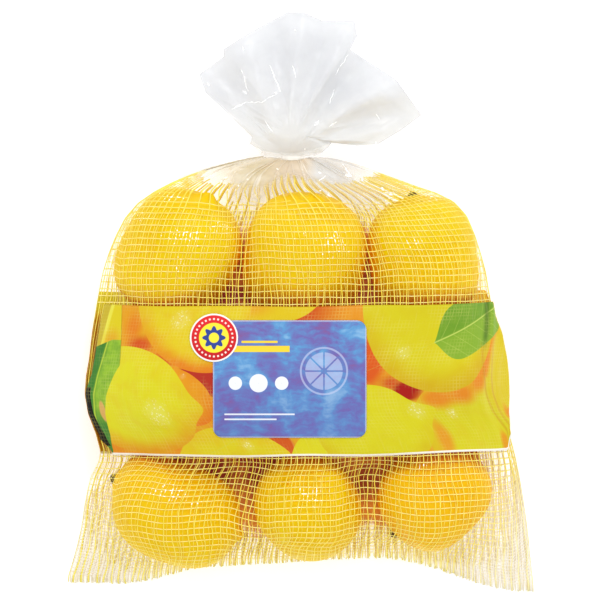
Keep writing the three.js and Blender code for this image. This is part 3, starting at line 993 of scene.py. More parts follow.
# fields of colour under the printed fruit: u, v, reach along u and v in mm, colour, strength, softness
bandGround = [
    (20, 66, 14, 14, (232, 160, 36), 1.0, 0.6),
    (27, 64, 8, 12, (230, 124, 34), 0.9, 0.9),
    (33, 55, 12, 7, (214, 84, 34), 1.0, 0.8),
    (48, 48, 12, 5, (206, 80, 34), 0.8, 0.8),
    (68, 38, 15, 10, (186, 52, 42), 1.0, 0.25),
    (70, 20, 8, 12, (232, 152, 38), 1.0, 0.6),
    (97, 6, 7, 7, (214, 92, 36), 1.0, 0.3),
    (151, 47, 12, 18, (222, 92, 36), 1.0, 0.55),
    (151, 34, 5, 4, (236, 150, 56), 0.7, 0.9),
    (164, 36, 9, 6, (206, 70, 36), 0.9, 0.9),
    (172, 32, 9, 6, (172, 30, 26), 1.0, 0.4),
]
# fields of colour over the lemons at the right
bandShade = [
    (186, 28, 14, 7.5, (232, 136, 40), 0.95, 0.75),
    (199, 30, 12, 8, (232, 134, 42), 0.95, 0.8),
    (209, 36, 9, 9, (232, 134, 42), 0.95, 0.8),
    (179, 7, 6, 15, (232, 150, 44), 0.9, 0.8),
    (229, 40, 15, 32, (222, 196, 40), 1.0, 0.3),
    (214, 44, 5, 9, (228, 132, 42), 0.9, 0.9),
    (215, 4, 3.5, 8, (232, 150, 40), 0.9, 0.6),
    (227, 14, 4, 12, (232, 140, 38), 0.9, 0.6),
]
# printed lemons from the lowest to the topmost: u, v, half sizes, turn in degrees, size of the tip, peel,
# shade, highlight u, v and reach
bandFruit = {
    "behindLeft": (53.8, 30.3, 21.4, 13.9, 161.5, 0.2, (234, 156, 38), (228, 104, 34), 60, 40, 2),
    "lowMiddle": (72, -12, 32, 27, 0, 0.0, (228, 210, 40), (232, 138, 38), 80, 6, 4),
    "lowRight": (124, -8, 26, 22, 0, 0.0, (224, 214, 42), (222, 196, 38), 120, 2, 3),
    "topLeft": (59.6, 70.8, 24.6, 35.8, 53.5, 0.0, (230, 204, 42), (230, 132, 36), 52, 68, 7),
    "farRight": (203, 10, 33, 30, 0, 0.0, (219, 207, 40), (224, 166, 38), 191, 20, 4),
    "topRight": (178.1, 68.7, 42.8, 31.5, 133.3, 0.15, (218, 203, 36), (214, 176, 34), 167, 51, 5),
    "middle": (145.8, 13.0, 30.1, 22.0, 14.2, 0.3, (223, 212, 40), (216, 184, 34), 174, 22, 6),
    "bigLeft": (26.4, 27.9, 36.5, 26.5, -5.5, 0.16, (226, 216, 42), (228, 158, 36), 44.5, 22, 9),
}
# printed leaf at the right: tip u, v, turn in degrees, length, half width, how slowly it widens, two greens
bandLeaf = (180.8, 55.6, 24, 70, 15.5, 5.6, (138, 174, 58), (112, 156, 50))
leafGreens = {"bright": (152, 192, 58), "dark": (66, 128, 54), "vein": (196, 214, 74)}


def spotGroup():
    # a soft or crisp oval field of colour laid over the print so far
    tree, out, under, place, middle, reach, tint, strength, softness = newGroup("print field", {
        "Under": "c", "Place": "v", "Middle": "v", "Reach": "v", "Tint": "c",
        "Strength": "n", "Softness": "n",
    }, "Colour", "c")
    away = vector("LENGTH", vector("DIVIDE", vector("SUBTRACT", place, middle), reach))
    mask = remap(away, 1.0 - softness, 1.0, 1.0, 0.0, smooth=True)
    fill(out, {"Colour": mixed(mask * strength, under, tint)})
    return tree


def turned(place, middle, angle):
    # a place seen from a middle, turned so that the given angle (radians) lies along x
    off = vector("SUBTRACT", place, middle)
    return off, node("VectorRotate", {"Vector": off, "Angle": angle * -1.0}, rotation_type="Z_AXIS")


def fruitGroup():
    # a printed lemon: an oval with a tip, shaded towards its lower edge, with a speckled highlight
    tree, out, under, place, middle, half, turn, tip, peel, shade, light, reach = newGroup("print fruit", {
        "Under": "c", "Place": "v", "Middle": "v", "Half": "v", "Turn": "n", "Tip": "n",
        "Peel": "c", "Shade": "c", "Light": "v", "Reach": "n",
    }, "Colour", "c")
    off, local = turned(place, middle, turn)
    x, y, _ = split(vector("DIVIDE", local, half))
    away = vector("LENGTH", node("CombineXYZ", {0: x, 1: y}))
    bell = calc("EXPONENT", abs(y / 0.22) ** 2.0 * -1.0)
    edge = away - bell * tip * remap(x, 0.55, 0.95, smooth=True)
    mask = remap(edge, 0.996, 1.004, 1.0, 0.0)
    _, drop, _ = split(off)
    low = remap(drop, 6.0, -26.0, 0.15, 1.0)
    rim = remap(edge, 0.62, 1.0, 0.0, 1.0, smooth=True)
    shading = rim * low + remap(grain(place, 0.16, 4.0), 0.45, 0.8, 0.0, 0.22)
    body = mixed(shading, peel, shade)
    glow = remap(vector("DISTANCE", place, light) / reach, 0.1, 1.0, 1.0, 0.0, smooth=True)
    dotted = remap(cells(place, 0.85), 0.12, 0.42, 0.85, 0.12)
    lit = mixed(glow * dotted, body, (252, 248, 214))
    fill(out, {"Colour": mixed(mask, under, lit)})
    return tree


def leafGroup():
    # a printed leaf from its tip along a midrib, lighter on one side, with veins
    tree, out, under, place, tip, turn, length, width, ease, bright, dark = newGroup("print leaf", {
        "Under": "c", "Place": "v", "Tip": "v", "Turn": "n", "Length": "n", "Width": "n", "Ease": "n",
        "Bright": "c", "Dark": "c",
    }, "Colour", "c")
    _, local = turned(place, tip, turn)
    along, across, _ = split(local)
    positive = calc("MAXIMUM", along, 0.0)
    grow = 1.0 - calc("EXPONENT", (positive / ease) ** 1.5 * -1.0)
    half = grow * (1.0 - (positive / length) ** 2.5) * width
    off = abs(across)
    mask = remap(half - off, -0.12, 0.12)
    tone = mixed(remap(across, -1.5, 1.5), bright, dark)
    toned = mixed(remap(grain(place, 0.12, 3.0), 0.4, 0.7, 0.0, 0.5), tone, bright)
    ribs = abs(calc("FRACT", (along - off * 0.85) / 6.5) - 0.5)
    veins = remap(ribs, 0.0, 0.06, 0.3, 0.0, smooth=True)
    middle = remap(off, 0.15, 0.55, 0.8, 0.0, smooth=True)
    veined = mixed(calc("MAXIMUM", veins, middle), toned, (206, 220, 116))
    fill(out, {"Colour": mixed(mask, under, veined)})
    return tree


def bandMaterial():
    material, shader, place = newMaterial("printed band film", "print")
    u, v, _ = split(place)
    spot, fruit, leaf = spotGroup(), fruitGroup(), leafGroup()
    broad = grain(place, 0.05, 2.0)

    def field(under, x, y, reachX, reachY, tint, strength, softness):
        return useGroup(spot, under, place, (x, y, 0), (reachX, reachY, 1), linear(*tint), strength, softness)

    def lemonPrint(under, name):
        x, y, halfX, halfY, turn, tip, peel, shade, lightX, lightY, lightReach = bandFruit[name]
        return useGroup(
            fruit, under, place, (x, y, 0), (halfX, halfY, 1), math.radians(turn), tip, linear(*peel),
            linear(*shade), (lightX, lightY, 0), lightReach,
        )

    def line(start, lean, width, curve=0.0):
        # how near a place is to a line that crosses the band's middle at u = start
        rise = v - band["middle"]
        at = rise * lean + rise * rise * curve + start
        return remap(abs(u - at), 0.0, width, 1.0, 0.0, smooth=True)

    colour = mixed(remap(broad, 0.35, 0.65), (232, 140, 36), (228, 168, 40))
    for row in bandGround:
        colour = field(colour, *row)
    for name in ("behindLeft", "lowMiddle", "lowRight", "topLeft"):
        colour = lemonPrint(colour, name)
    # the strip over the label: an orange ground and the lower edge of another lemon
    strip = mixed(remap(u, 116.0, 134.0), (210, 82, 34), (232, 150, 42))
    strip = field(strip, 96, 82, 25, 16, (228, 196, 38), 1.0, 0.02)
    strip = field(strip, 86, 76, 16, 10, (230, 160, 40), 0.85, 0.9)
    inStrip = remap(u, 85.5, 85.8) * remap(v, 60.0, 60.2)
    colour = mixed(inStrip, colour, strip)
    colour = lemonPrint(colour, "farRight")
    for row in bandShade:
        colour = field(colour, *row)
    for name in ("topRight", "middle"):
        colour = lemonPrint(colour, name)
    x, y, turn, length, width, ease, bright, dark = bandLeaf
    colour = useGroup(
        leaf, colour, place, (x, y, 0), math.radians(turn), length, width, ease,
        linear(*bright), linear(*dark),
    )
    # painted shade in the folds and creases at the right
    foldShade = line(210.5, 0.05, 3.2) * remap(v, 50.0, 58.0)
    colour = mixed(foldShade * 0.75, colour, (74, 108, 40))
    creases = calc("MAXIMUM", line(214.0, -0.24, 1.6, -0.003), line(220.5, -0.1, 1.4, -0.002))
    colour = mixed(creases * remap(v, 56.0, 50.0) * 0.5, colour, (204, 142, 34))
    colour = lemonPrint(colour, "bigLeft")
    # the leaf at the left, between the sheet's edge, the big lemon and the seam
    fruitEdge = v * 0.1 + 7.2 + v * v * 0.0055
    seamStart, seamLean = band["seam"]
    seamAt = (band["length"] - v) * seamLean + seamStart
    inLeaf = remap(calc("MINIMUM", fruitEdge, seamAt) - u, -0.1, 0.1)
    fromVein = u - ((v - 25.6) * 0.2 + 5.6)
    green = mixed(remap(fromVein, -1.5, 2.0), leafGreens["dark"], leafGreens["bright"])
    green = mixed(remap(v, 24.0, 14.0), green, (72, 132, 58))
    green = mixed(remap(grain(place, 0.2, 3.0), 0.4, 0.7, 0.0, 0.45), green, leafGreens["dark"])
    vein = remap(abs(fromVein), 0.1, 0.7, 0.85, 0.0, smooth=True)
    green = mixed(vein, green, leafGreens["vein"])
    green = field(green, 10.4, 21.8, 2.3, 6.0, (218, 168, 104), 1.0, 0.3)
    # the panel over the leaf, with a pale stripe
    slope = u + (v - band["length"]) * -0.13
    stripe = mixed(remap(slope, 9.6, 10.2), (204, 178, 56), (236, 226, 84))
    panel = mixed(remap(slope, 11.6, 12.6), stripe, (226, 204, 38))
    panel = field(panel, 14, 57, 8, 9, (228, 160, 44), 0.8, 0.9)
    panelEnd = 57.5 - calc("MAXIMUM", 14.6 - u, 0.0) * 0.36
    green = mixed(remap(v - panelEnd, -0.15, 0.15), green, panel)
    colour = mixed(inLeaf, colour, green)
    atSeam = remap(abs(u - seamAt), 0.0, 0.45, 0.5, 0.0)
    colour = mixed(atSeam * remap(v, 45.0, 46.0), colour, (150, 104, 30))
    # black strip along the left edge, pale strip along the lower edge
    fromMiddle = v - 24.0
    stripEdge = fromMiddle * fromMiddle * 0.0085 + 3.7
    inBlack = remap(stripEdge - u, -0.1, 0.1) * (remap(v, 33.6, 33.3) * remap(v, 4.2, 4.6))
    colour = mixed(inBlack, colour, (22, 20, 16))
    # the back sheet's end, seen through the net, in its printed tints; it also glows a little, painted light
    # that lifts the shade it lies in
    backEnd = attribute(place, "backEnd")
    backTint = mixed(remap(u, 300.0, 301.0), (222, 168, 40), (208, 196, 50))
    colour = mixed(backEnd, colour, backTint)
    # pale streaks along the sheet: painted sheen
    stretched = node("Mapping", {"Vector": place, "Scale": (0.9, 0.05, 1)})
    streak = grain(stretched, 1.0, 3.0)
    colour = mixed(remap(streak, 0.6, 0.8, 0.0, 0.14), colour, (250, 240, 170))
    # a faint paler grid where the net presses into the film: painted highlights on its ridges
    marks = 0.0
    for along in (u, v):
        part = abs(calc("FRACT", along / 1.7) - 0.5)
        marks = calc("MAXIMUM", marks, remap(part, 0.0, 0.22, 1.0, 0.0, smooth=True))
    ridgePatches = grain(place, 0.09, 3.0)
    colour = mixed(marks * remap(ridgePatches, 0.42, 0.7, 0.0, 0.22), colour, (250, 240, 150))
    colour = mixed(1.0, colour, (0.9, 0.93, 0.74, 1), blend="MULTIPLY")
    colour = mixed(remap(v, 1.15, 0.95), colour, (252, 250, 240))
    ripple = grain(stretched, 0.5, 2.0)
    # the glow on the back sheet's end is painted light
    fill(shader, {
        "Base Color": colour, "Emission Color": colour, "Emission Strength": backEnd * 0.5,
        "Normal": bumped(ripple, 0.35, 0.0006), "Roughness": 0.3, "Specular IOR Level": 0.1,
    })
    return material


def makeBand():
    v = np.linspace(0, 1, band["rows"])
    fine = np.linspace(0.001, 0.999, band["samples"])
    length = band["length"]
    rows = []
    for share in v:
        front = onBag(1, np.full(len(fine), 1 + share), fine, band["lift"])
        frontEnd = lengths(front, 0)[-1] / mm
        # the back sheet stands further up at both its ends
        atRight = plateau(1 - fine, 0, *band["backRiseStart"])
        rise = share * (1 - smoothstep(fine, *band["backRiseEnd"]) + atRight) * band["backRise"] / length
        back = onBag(-1, 1 + share + rise * (share > 0), fine, band["lift"])[::-1]
        whole = np.concatenate([front, back, front[:1]])
        s = lengths(whole, 0) / mm
        start = np.interp(share * length, *zip(*band["leftEdge"]))
        rows.append((whole, s, start, frontEnd))
    grid = np.empty((band["rows"], band["columns"], 3))
    uv = np.empty((band["rows"], band["columns"], 2))
    onBack = np.empty(uv.shape[:2])
    for j, (whole, s, start, frontEnd) in enumerate(rows):
        wanted = np.linspace(start, s[-1], band["columns"])
        for axis in range(3):
            grid[j, :, axis] = np.interp(wanted, s, whole[:, axis])
        uv[j, :, 0] = wanted
        uv[j, :, 1] = v[j] * length
        onBack[j] = smoothstep(wanted, frontEnd - 1, frontEnd + 1)
        onBack[j] *= smoothstep(v[j] * length, *band["backShows"])
    normals = normalsOf(grid, 1)
    u = uv[..., 0]
    # upright folds near the right side, a seam at the left, slight waves all over
    height = np.zeros(u.shape)
    for at, lean, width, depth in band["folds"]:
        middle = at + lean * (uv[..., 1] - band["middle"])
        height += depth * np.exp(-((u - middle) / width) ** 2) * band["foldDepth"]
    seam = band["seam"][0] + (length - uv[..., 1]) * band["seam"][1]
    width, depth, lowEnd = band["seamGroove"]
    height -= depth * band["foldDepth"] * np.exp(-((u - seam) / width) ** 2) * (uv[..., 1] > lowEnd)
    for index in np.ndindex(height.shape):
        height[index] += noise.noise(Vector((u[index] * 0.11, uv[index][1] * 0.045, 1.7))) * band["waves"]
    grid += normals * height[..., None]
    grid[..., 2] = np.maximum(grid[..., 2], band["lowest"])
    piece = sheetPiece("band_sheet", grid, uv)
    pointValues(piece, "backEnd", onBack)
    thicken(piece, band["thickness"])
    dress(piece, [bandMaterial()], "band_print", "print_band")
    print("band ready")
    return piece


bandSheet = makeBand()


# mm, but for the number of steps across and up
label = {
    "middle": (-5.35, -38.55), "half": (38.1, 29.2), "corner": 5.0, "lift": 0.35, "thickness": 0.14,
    "steps": (64, 50),
}
badge = {
    "middle": (-43.0, -18.0), "half": (12.0, 12.0), "corner": 12.0, "lift": 0.62, "thickness": 0.14,
    "steps": (40, 40),
}


def sticker(name, middle, half, corner, lift, thickness, steps):
    # a flat grid with rounded corners, laid down onto the band
    deselectAll()
    across, up = steps
    bpy.ops.mesh.primitive_grid_add(x_subdivisions=across, y_subdivisions=up, size=2, location=(0, 0, 0))
    piece = bpy.context.object
    piece.name = name
    layer = piece.data.uv_layers[0]
    layer.name = "print"
    for vertex in piece.data.vertices:
        x, y = vertex.co.x * half[0], vertex.co.y * half[1]
        dx = max(0, abs(x) - (half[0] - corner)) / corner
        dy = max(0, abs(y) - (half[1] - corner)) / corner
        if dx > 0 and dy > 0:
            squeeze = max(dx, dy) / math.hypot(dx, dy)
            x = math.copysign(half[0] - corner + dx * squeeze * corner, x)
            y = math.copysign(half[1] - corner + dy * squeeze * corner, y)
        vertex.co = Vector(((middle[0] + x) * mm, (middle[1] + y) * mm, 0.09))
    for loop in piece.data.loops:
        co = piece.data.vertices[loop.vertex_index].co
        layer.data[loop.index].uv = (co.x / mm - middle[0], co.y / mm - middle[1])
    lay = piece.modifiers.new("lay", "SHRINKWRAP")
    lay.target = bandSheet
    lay.wrap_method = "PROJECT"
    lay.use_project_z = True
    lay.use_negative_direction = True
    lay.use_positive_direction = False
    lay.offset = lift * mm
    ease = piece.modifiers.new("ease", "SMOOTH")
    ease.factor = 0.5
    ease.iterations = 4
    ease.use_x = ease.use_y = False
    thicken(piece, thickness * mm)
    return smoothAll(piece)


def labelMaterial():
    material, shader, place = newMaterial("label print", "print")
    u, v, _ = split(place)
    warp = node("TexNoise", {"Vector": place, "Scale": 0.07, "Detail": 3.0}, "Color")
    swirled = vector("ADD", place, vector("MULTIPLY", warp, (9.0, 9.0, 0.0)))
    cloud = node("TexNoise", {"Vector": swirled, "Scale": 0.055, "Detail": 5.0, "Roughness": 0.6})
    brush = node("Mapping", {"Vector": swirled, "Rotation": (0, 0, 0.5), "Scale": (0.25, 0.9, 1)})
    strokes = grain(brush, 0.5, 4.0)
    level = cloud * 0.75 + strokes * 0.25
    tint = node("ValToRGB", {0: level})
    ramp = tint.socket.node.color_ramp
    stops = [
        (0.35, (130, 92, 154)), (0.43, (112, 106, 176)), (0.5, (102, 130, 192)), (0.56, (94, 154, 208)),
        (0.66, (140, 186, 224)),
    ]
    while len(ramp.elements) < len(stops):
        ramp.elements.new(0.5)
    for element, (position, shade) in zip(ramp.elements, stops):
        element.position = position
        element.color = linear(*shade)
    colour = mixed(remap(v, -27.0, 12.0, 0.35, 0.0), tint, (100, 96, 176))

    def ring(middle, radius, width):
        off = vector("DISTANCE", place, (*middle, 0))
        return remap(abs(off - radius), width / 2, width / 2 - 0.15), off

    def box(middle, half):
        insideU = remap(abs(u - middle[0]), half[0], half[0] - 0.12)
        insideV = remap(abs(v - middle[1]), half[1], half[1] - 0.12)
        return insideU * insideV

    pale = (196, 206, 238)
    # a cut lemon: two rings and eight segments
    middle = (17.0, 4.0)
    outer, off = ring(middle, 11.5, 1.1)
    inner = remap(off, 9.4, 9.2)
    local = vector("SUBTRACT", place, (*middle, 0))
    x, y, _ = split(local)
    angle = calc("ARCTAN2", y, x)
    gap = abs(calc("SINE", angle * 4.0)) * off
    segments = inner * remap(gap, 1.3, 1.7) * remap(off, 1.4, 1.6)
    colour = mixed(calc("MAXIMUM", outer, segments) * 0.55, colour, pale)
    # thin rules and a small yellow bar
    rules = calc("MAXIMUM", box((-15, -17.5), (17.5, 0.45)), box((-19.5, -20.0), (13.0, 0.45)))
    colour = mixed(rules * 0.9, colour, (240, 244, 252))
    bar = calc("MAXIMUM", box((-15, 15.0), (15.0, 1.6)), box((-15, 18.5), (9.0, 0.6)))
    colour = mixed(bar, colour, (244, 214, 60))
    for x, y, radius in ((-27.0, -2.0, 3.4), (-15.5, -2.0, 4.6), (-4.0, -2.0, 3.4)):
        drop, _ = ring((x, y), radius / 2, radius)
        colour = mixed(drop * 0.92, colour, (246, 248, 253))
    edgeU = remap(abs(u), label["half"][0] - 0.7, label["half"][0] - 0.5)
    edgeV = remap(abs(v), label["half"][1] - 0.7, label["half"][1] - 0.5)
    colour = mixed(calc("MAXIMUM", edgeU, edgeV) * 0.6, colour, (206, 214, 240))
    fill(shader, {"Base Color": colour, "Roughness": 0.3, "Specular IOR Level": 0.15})
    return material


def badgeMaterial():
    material, shader, place = newMaterial("badge print", "print")
    off = vector("LENGTH", place)
    u, v, _ = split(place)
    angle = calc("ARCTAN2", v, u)
    red = mixed(remap(v, -9.0, 9.0), (196, 30, 36), (226, 44, 48))
    colour = mixed(remap(off, 7.5, 7.35), red, (244, 232, 62))
    star = remap(off - calc("COSINE", angle * 8.0) * 0.9, 5.0, 4.85)
    colour = mixed(star, colour, (50, 70, 150))
    colour = mixed(remap(off, 2.6, 2.5), colour, (244, 232, 62))
    beads = calc("COSINE", angle * 28.0)
    onRing = remap(abs(off - 9.3), 0.5, 0.4)
    colour = mixed(onRing * remap(beads, 0.1, 0.3), colour, (250, 236, 226))
    colour = mixed(remap(off, 11.15, 11.25), colour, (250, 250, 246))
    fill(shader, {"Base Color": colour, "Roughness": 0.3, "Specular IOR Level": 0.15})
    return material


def makeStickers():
    dress(sticker("label_sheet", **label), [labelMaterial()], "label_print", "blue_label")
    dress(sticker("badge_disc", **badge), [badgeMaterial()], "badge_print", "round_badge")
    print("label and badge ready")


makeStickers()


# clear film above the tie
filmHeader = {
    "middle": (-4.3, 84),   # where the sheet's rings start, mm
    "heart": (-4.6, 73),    # where the folds meet, mm
    "folds": 60,
    "foldLength": 72 * mm,  # of the longest
    "spokes": 300,
    "rings": 64,
    # corners of the outline, round from the right end of the tie, mm
    "corners": [
        (3, 73.6), (11, 74.4), (14, 77), (15.4, 79.2), (28.2, 77.8), (38.6, 78.5), (49.8, 85.2),
        (60.7, 93.2), (54.2, 101.8), (47.6, 110.8), (24.8, 125.8), (28.2, 132.5), (27, 140.2), (11, 140.2),
        (1.2, 144.4), (-6.2, 144.4), (-15.2, 139.8), (-26.8, 133.2), (-38.5, 125.8), (-38.5, 122.2),
        (-50.6, 113.4), (-47.2, 104), (-36.6, 94.2), (-24.2, 82), (-25.2, 78.6), (-19, 75.2), (-11, 73.8),
        (-6.2, 71.9), (-1, 72.1),
    ],
    "slack": 1.6 * mm,
    "ridge": 1.1 * mm,
    "crinkle": 0.85 * mm,
    "crinkleSize": 11 * mm,
    "alpha": 0.5,
    "spread": 1.006,        # widens the outline, since the film lies lower than the pack's middle
}
# streaks of light on the film above the tie: from x, y to x, y and half width, mm
headerGlints = [
    (-29.2, 128.2, -28.4, 125.8, 0.6), (-29.6, 116.5, -26.2, 105.5, 0.55), (-29, 105.8, -27, 104, 1.0),
    (-15.4, 118.8, -10.2, 105.4, 0.5), (-12.8, 105, -11.6, 104.6, 1.0), (-34.2, 96.6, -27.4, 100.2, 0.45),
    (-27.4, 100.2, -19.8, 99.8, 0.4), (-19.8, 99.8, -11.8, 104.2, 0.4), (-3.8, 118.2, -2.4, 112, 0.4),
    (-2.8, 136.6, -2.8, 135.8, 0.6), (-46.8, 109.8, -45.6, 108.4, 0.7), (7, 88.2, 9.2, 90.6, 0.9),
    (14.4, 87.6, 17.8, 90, 0.55), (14.6, 99.4, 17, 106.6, 0.4), (38, 94, 39.8, 91.4, 0.5),
    (37.6, 79.9, 37.9, 79.4, 0.8), (1.7, 76.6, 2.4, 76, 0.8), (24.2, 124.4, 17.6, 114, 0.22),
    (-17.8, 90.6, -14, 84.8, 0.3),
]


def crumple(x, y, size, seed):
    # flat facets with sharp ridges between them: 0 in the middle of a facet, 1 on a ridge
    distances, _ = noise.voronoi(Vector((x / size, y / size, seed)))
    return 1 - min(1, (distances[1] - distances[0]) * 1.6)


def filmOutline(count):
    # directions that meet every corner of the outline, and how far the film reaches in each
    corners = np.array(filmHeader["corners"]) * filmHeader["spread"] - np.array(filmHeader["middle"])
    turns = np.unwrap(np.arctan2(corners[:, 1], corners[:, 0]))
    angles = turns[0] + np.linspace(0, 2 * np.pi, count, endpoint=False)
    for turn in turns:
        angles[np.abs(angles - turn).argmin()] = turn
    angles = np.sort(angles)
    closed, turns = np.concatenate([corners, corners[:1]]), np.append(turns, turns[0] + 2 * np.pi)
    leg = np.clip(np.searchsorted(turns, angles + 1e-7) - 1, 0, len(corners) - 1)
    a, b = closed[leg], closed[leg + 1]
    way = np.stack([np.cos(angles), np.sin(angles)], 1)
    run = b - a
    reach = (a[:, 0] * b[:, 1] - a[:, 1] * b[:, 0]) / (way[:, 0] * run[:, 1] - way[:, 1] * run[:, 0])
    return angles, reach * mm


def fromOutline(x, y):
    # distance of every place from the outline
    corners = np.array(filmHeader["corners"]) * filmHeader["spread"] * mm
    nearest = np.full(x.shape, 1.0)
    for (ax, ay), (bx, by) in zip(corners, np.roll(corners, -1, 0)):
        runX, runY = bx - ax, by - ay
        share = np.clip(((x - ax) * runX + (y - ay) * runY) / (runX ** 2 + runY ** 2), 0, 1)
        nearest = np.minimum(nearest, np.hypot(x - ax - share * runX, y - ay - share * runY))
    return nearest


def streakGroup():
    # a thin streak from one place to another, seen along the height
    tree, out, place, start, end, width = newGroup(
        "film streak", {"Place": "v", "Start": "v", "End": "v", "Width": "n"}, "Mask", "n",
    )
    flat = vector("MULTIPLY", place, (1, 1, 0))
    off = vector("SUBTRACT", flat, start)
    way = vector("SUBTRACT", end, start)
    along = vector("DOT_PRODUCT", off, way)
    whole = vector("DOT_PRODUCT", way, way)
    share = calc("DIVIDE", along, whole, clamp=True)
    foot = vector("SCALE", way, {"Scale": share})
    away = vector("DISTANCE", off, foot)
    middle = share * (1.0 - share) * 2.4
    width = width * (middle + 0.35)
    fill(out, {"Mask": remap(away / width, 0.2, 1.05, 1.0, 0.0, smooth=True)})
    return tree


streakMask = streakGroup()


def streaks(place, rows):
    # the given streaks, a little uneven along their length
    wobble = node("TexNoise", {"Vector": place, "Scale": 300.0, "Detail": 2.0}, "Color")
    shift = vector("SUBTRACT", wobble, (0.5, 0.5, 0.5))
    there = vector("ADD", place, vector("SCALE", shift, {"Scale": 0.0016}))
    total = 0.0
    for x, y, endX, endY, width in rows:
        mask = useGroup(streakMask, there, (x * mm, y * mm, 0), (endX * mm, endY * mm, 0), width * mm)
        total = calc("MAXIMUM", total, mask)
    broken = grain(place, 420.0, 2.0)
    return total * remap(broken, 0.36, 0.56, 0.25, 1.0)


def filmMaterial():
    material, shader, place = newMaterial("clear film")
    cloud = grain(place, 60.0, 3.0)
    _, y, _ = split(place)
    cool = mixed(remap(cloud, 0.35, 0.65), (221, 222, 225), (229, 230, 232))
    warm = mixed(remap(cloud, 0.35, 0.65), (231, 231, 229), (236, 236, 234))
    base = mixed(remap(y, 0.105, 0.08), cool, warm)
    glint = streaks(place, headerGlints)
    facing = node("LayerWeight", {"Blend": 0.35}, "Facing", tree=place.tree)
    dense = facing * 0.2 + filmHeader["alpha"]
    fine = grain(place, 240.0, 2.0)
    fill(shader, {
        "Base Color": mixed(glint, base, (1, 1, 1, 1)), "Alpha": calc("ADD", dense, glint * 0.5, clamp=True),
        "Normal": bumped(fine, 0.35, 0.0006), "Roughness": 0.14, "Specular IOR Level": 0.35,
        "Emission Color": (1, 1, 1, 1), "Emission Strength": glint * 0.18,
    })
    return material


def makeFilmHeader():
    skin = mergedSkin("film_top")
    draw = np.random.default_rng(11)
    spokes, rings = filmHeader["spokes"], filmHeader["rings"]
    angles, reach = filmOutline(spokes)
    share = np.linspace(0.02, 1.0, rings)
    ring, angle = np.meshgrid(share, angles, indexing="ij")
    x = filmHeader["middle"][0] * mm + ring * reach * np.cos(angle)
    y = filmHeader["middle"][1] * mm + ring * reach * np.sin(angle)
    inwards = fromOutline(x, y)
    # folds fan out from the tie: sharp ridges at uneven angles, each on its own stretch
    fromHeart = x - filmHeader["heart"][0] * mm, y - filmHeader["heart"][1] * mm
    fan, away = np.arctan2(fromHeart[1], fromHeart[0]), np.hypot(*fromHeart) / filmHeader["foldLength"]
    folds = np.zeros(x.shape)
    for _ in range(filmHeader["folds"]):
        middle, width = draw.uniform(-0.1, np.pi + 0.1), draw.uniform(0.03, 0.11)
        start, end = sorted(draw.uniform(0.05, 1.0, 2))
        height, curl = draw.uniform(0.3, 1.0) * draw.choice([1, 1, -1]), draw.uniform(-0.25, 0.25)
        off = np.abs((fan - middle - curl * away + np.pi) % (2 * np.pi) - np.pi) / width
        here = plateau(away, start - 0.15, start + 0.1, end - 0.05, end + 0.2)
        folds += np.maximum(0, 1 - off) * here * height
    crinkles, small = (
        np.array([crumple(a, b, size, seed) for a, b in zip(x.ravel(), y.ravel())]).reshape(x.shape)
        for size, seed in ((filmHeader["crinkleSize"], 4.0), (filmHeader["crinkleSize"] * 0.45, 9.0))
    )
    middleZ = (skin["points"][:, 2].max() + skin["points"][:, 2].min()) / 2
    sheets = []
    for side in (1, -1):
        packed = heights(skin["tree"], x, y, side, np.nan)
        packed[0] = np.where(np.isnan(packed[0]), middleZ, packed[0])
        for before, row in zip(packed, packed[1:]):
            row[np.isnan(row)] = before[np.isnan(row)]
        for _ in range(3):
            packed = (packed + np.roll(packed, 1, 1) + np.roll(packed, -1, 1)) / 3
        z = packed.copy()
        for _ in range(20):
            mean = (np.roll(z, 1, 1) + np.roll(z, -1, 1) + np.concatenate([z[:1], z[:-1]])
                    + np.concatenate([z[1:], z[-1:]])) / 4
            z = np.clip(mean, packed - filmHeader["slack"], packed + filmHeader["slack"])
        fromPole = np.hypot(x - x[0].mean(), y - y[0].mean())
        flat = smoothstep(fromPole, 1 * mm, 14 * mm)
        z = z * flat + z[:8].mean() * (1 - flat)
        fade = smoothstep(inwards, 0, 7 * mm) * smoothstep(fromPole, 1 * mm, 12 * mm)
        crinkle = (crinkles - 0.5) * filmHeader["crinkle"] + small * 0.35 * filmHeader["crinkle"]
        z += side * (folds * filmHeader["ridge"] + crinkle) * fade
        for _ in range(4):
            z = (2 * z + np.roll(z, 1, 1) + np.roll(z, -1, 1)) / 4
        soft = z
        for _ in range(30):
            soft = (2 * soft + np.roll(soft, 1, 1) + np.roll(soft, -1, 1)) / 4
        z = soft + (z - soft) * smoothstep(inwards, 3 * mm, 10 * mm)
        sheets.append(z)
    # both sheets meet along the outline
    meet = 1 - smoothstep(inwards, 0, 11 * mm)
    mean = (sheets[0] + sheets[1]) / 2
    gap = np.maximum((sheets[0] - sheets[1]) / 2, 0.4 * mm) * (1 - meet) + 0.03 * mm
    top, bottom = np.stack([x, y, mean + gap], -1), np.stack([x, y, mean - gap], -1)
    faces = gridFaces(rings, spokes, cyclic=True)
    count = rings * spokes
    closing = [
        (spokes * (rings - 1) + i, spokes * (rings - 1) + (i + 1) % spokes,
         count + spokes * (rings - 1) + (i + 1) % spokes, count + spokes * (rings - 1) + i)
        for i in range(spokes)
    ]
    caps = [tuple(range(spokes))[::-1], tuple(count + i for i in range(spokes))]
    piece = meshPiece(
        "film_header", np.concatenate([top.reshape(-1, 3), bottom.reshape(-1, 3)]),
        [*faces[:, ::-1], *(faces + count), *closing, *caps],
    )
    makeActive(piece)
    bpy.ops.object.mode_set(mode="EDIT")
    bpy.ops.mesh.select_all(action="SELECT")
    bpy.ops.mesh.normals_make_consistent(inside=False)
    bpy.ops.object.mode_set(mode="OBJECT")
    dress(piece, [filmMaterial()], "clear_film", "film_top")
    print("film header ready")


makeFilmHeader()


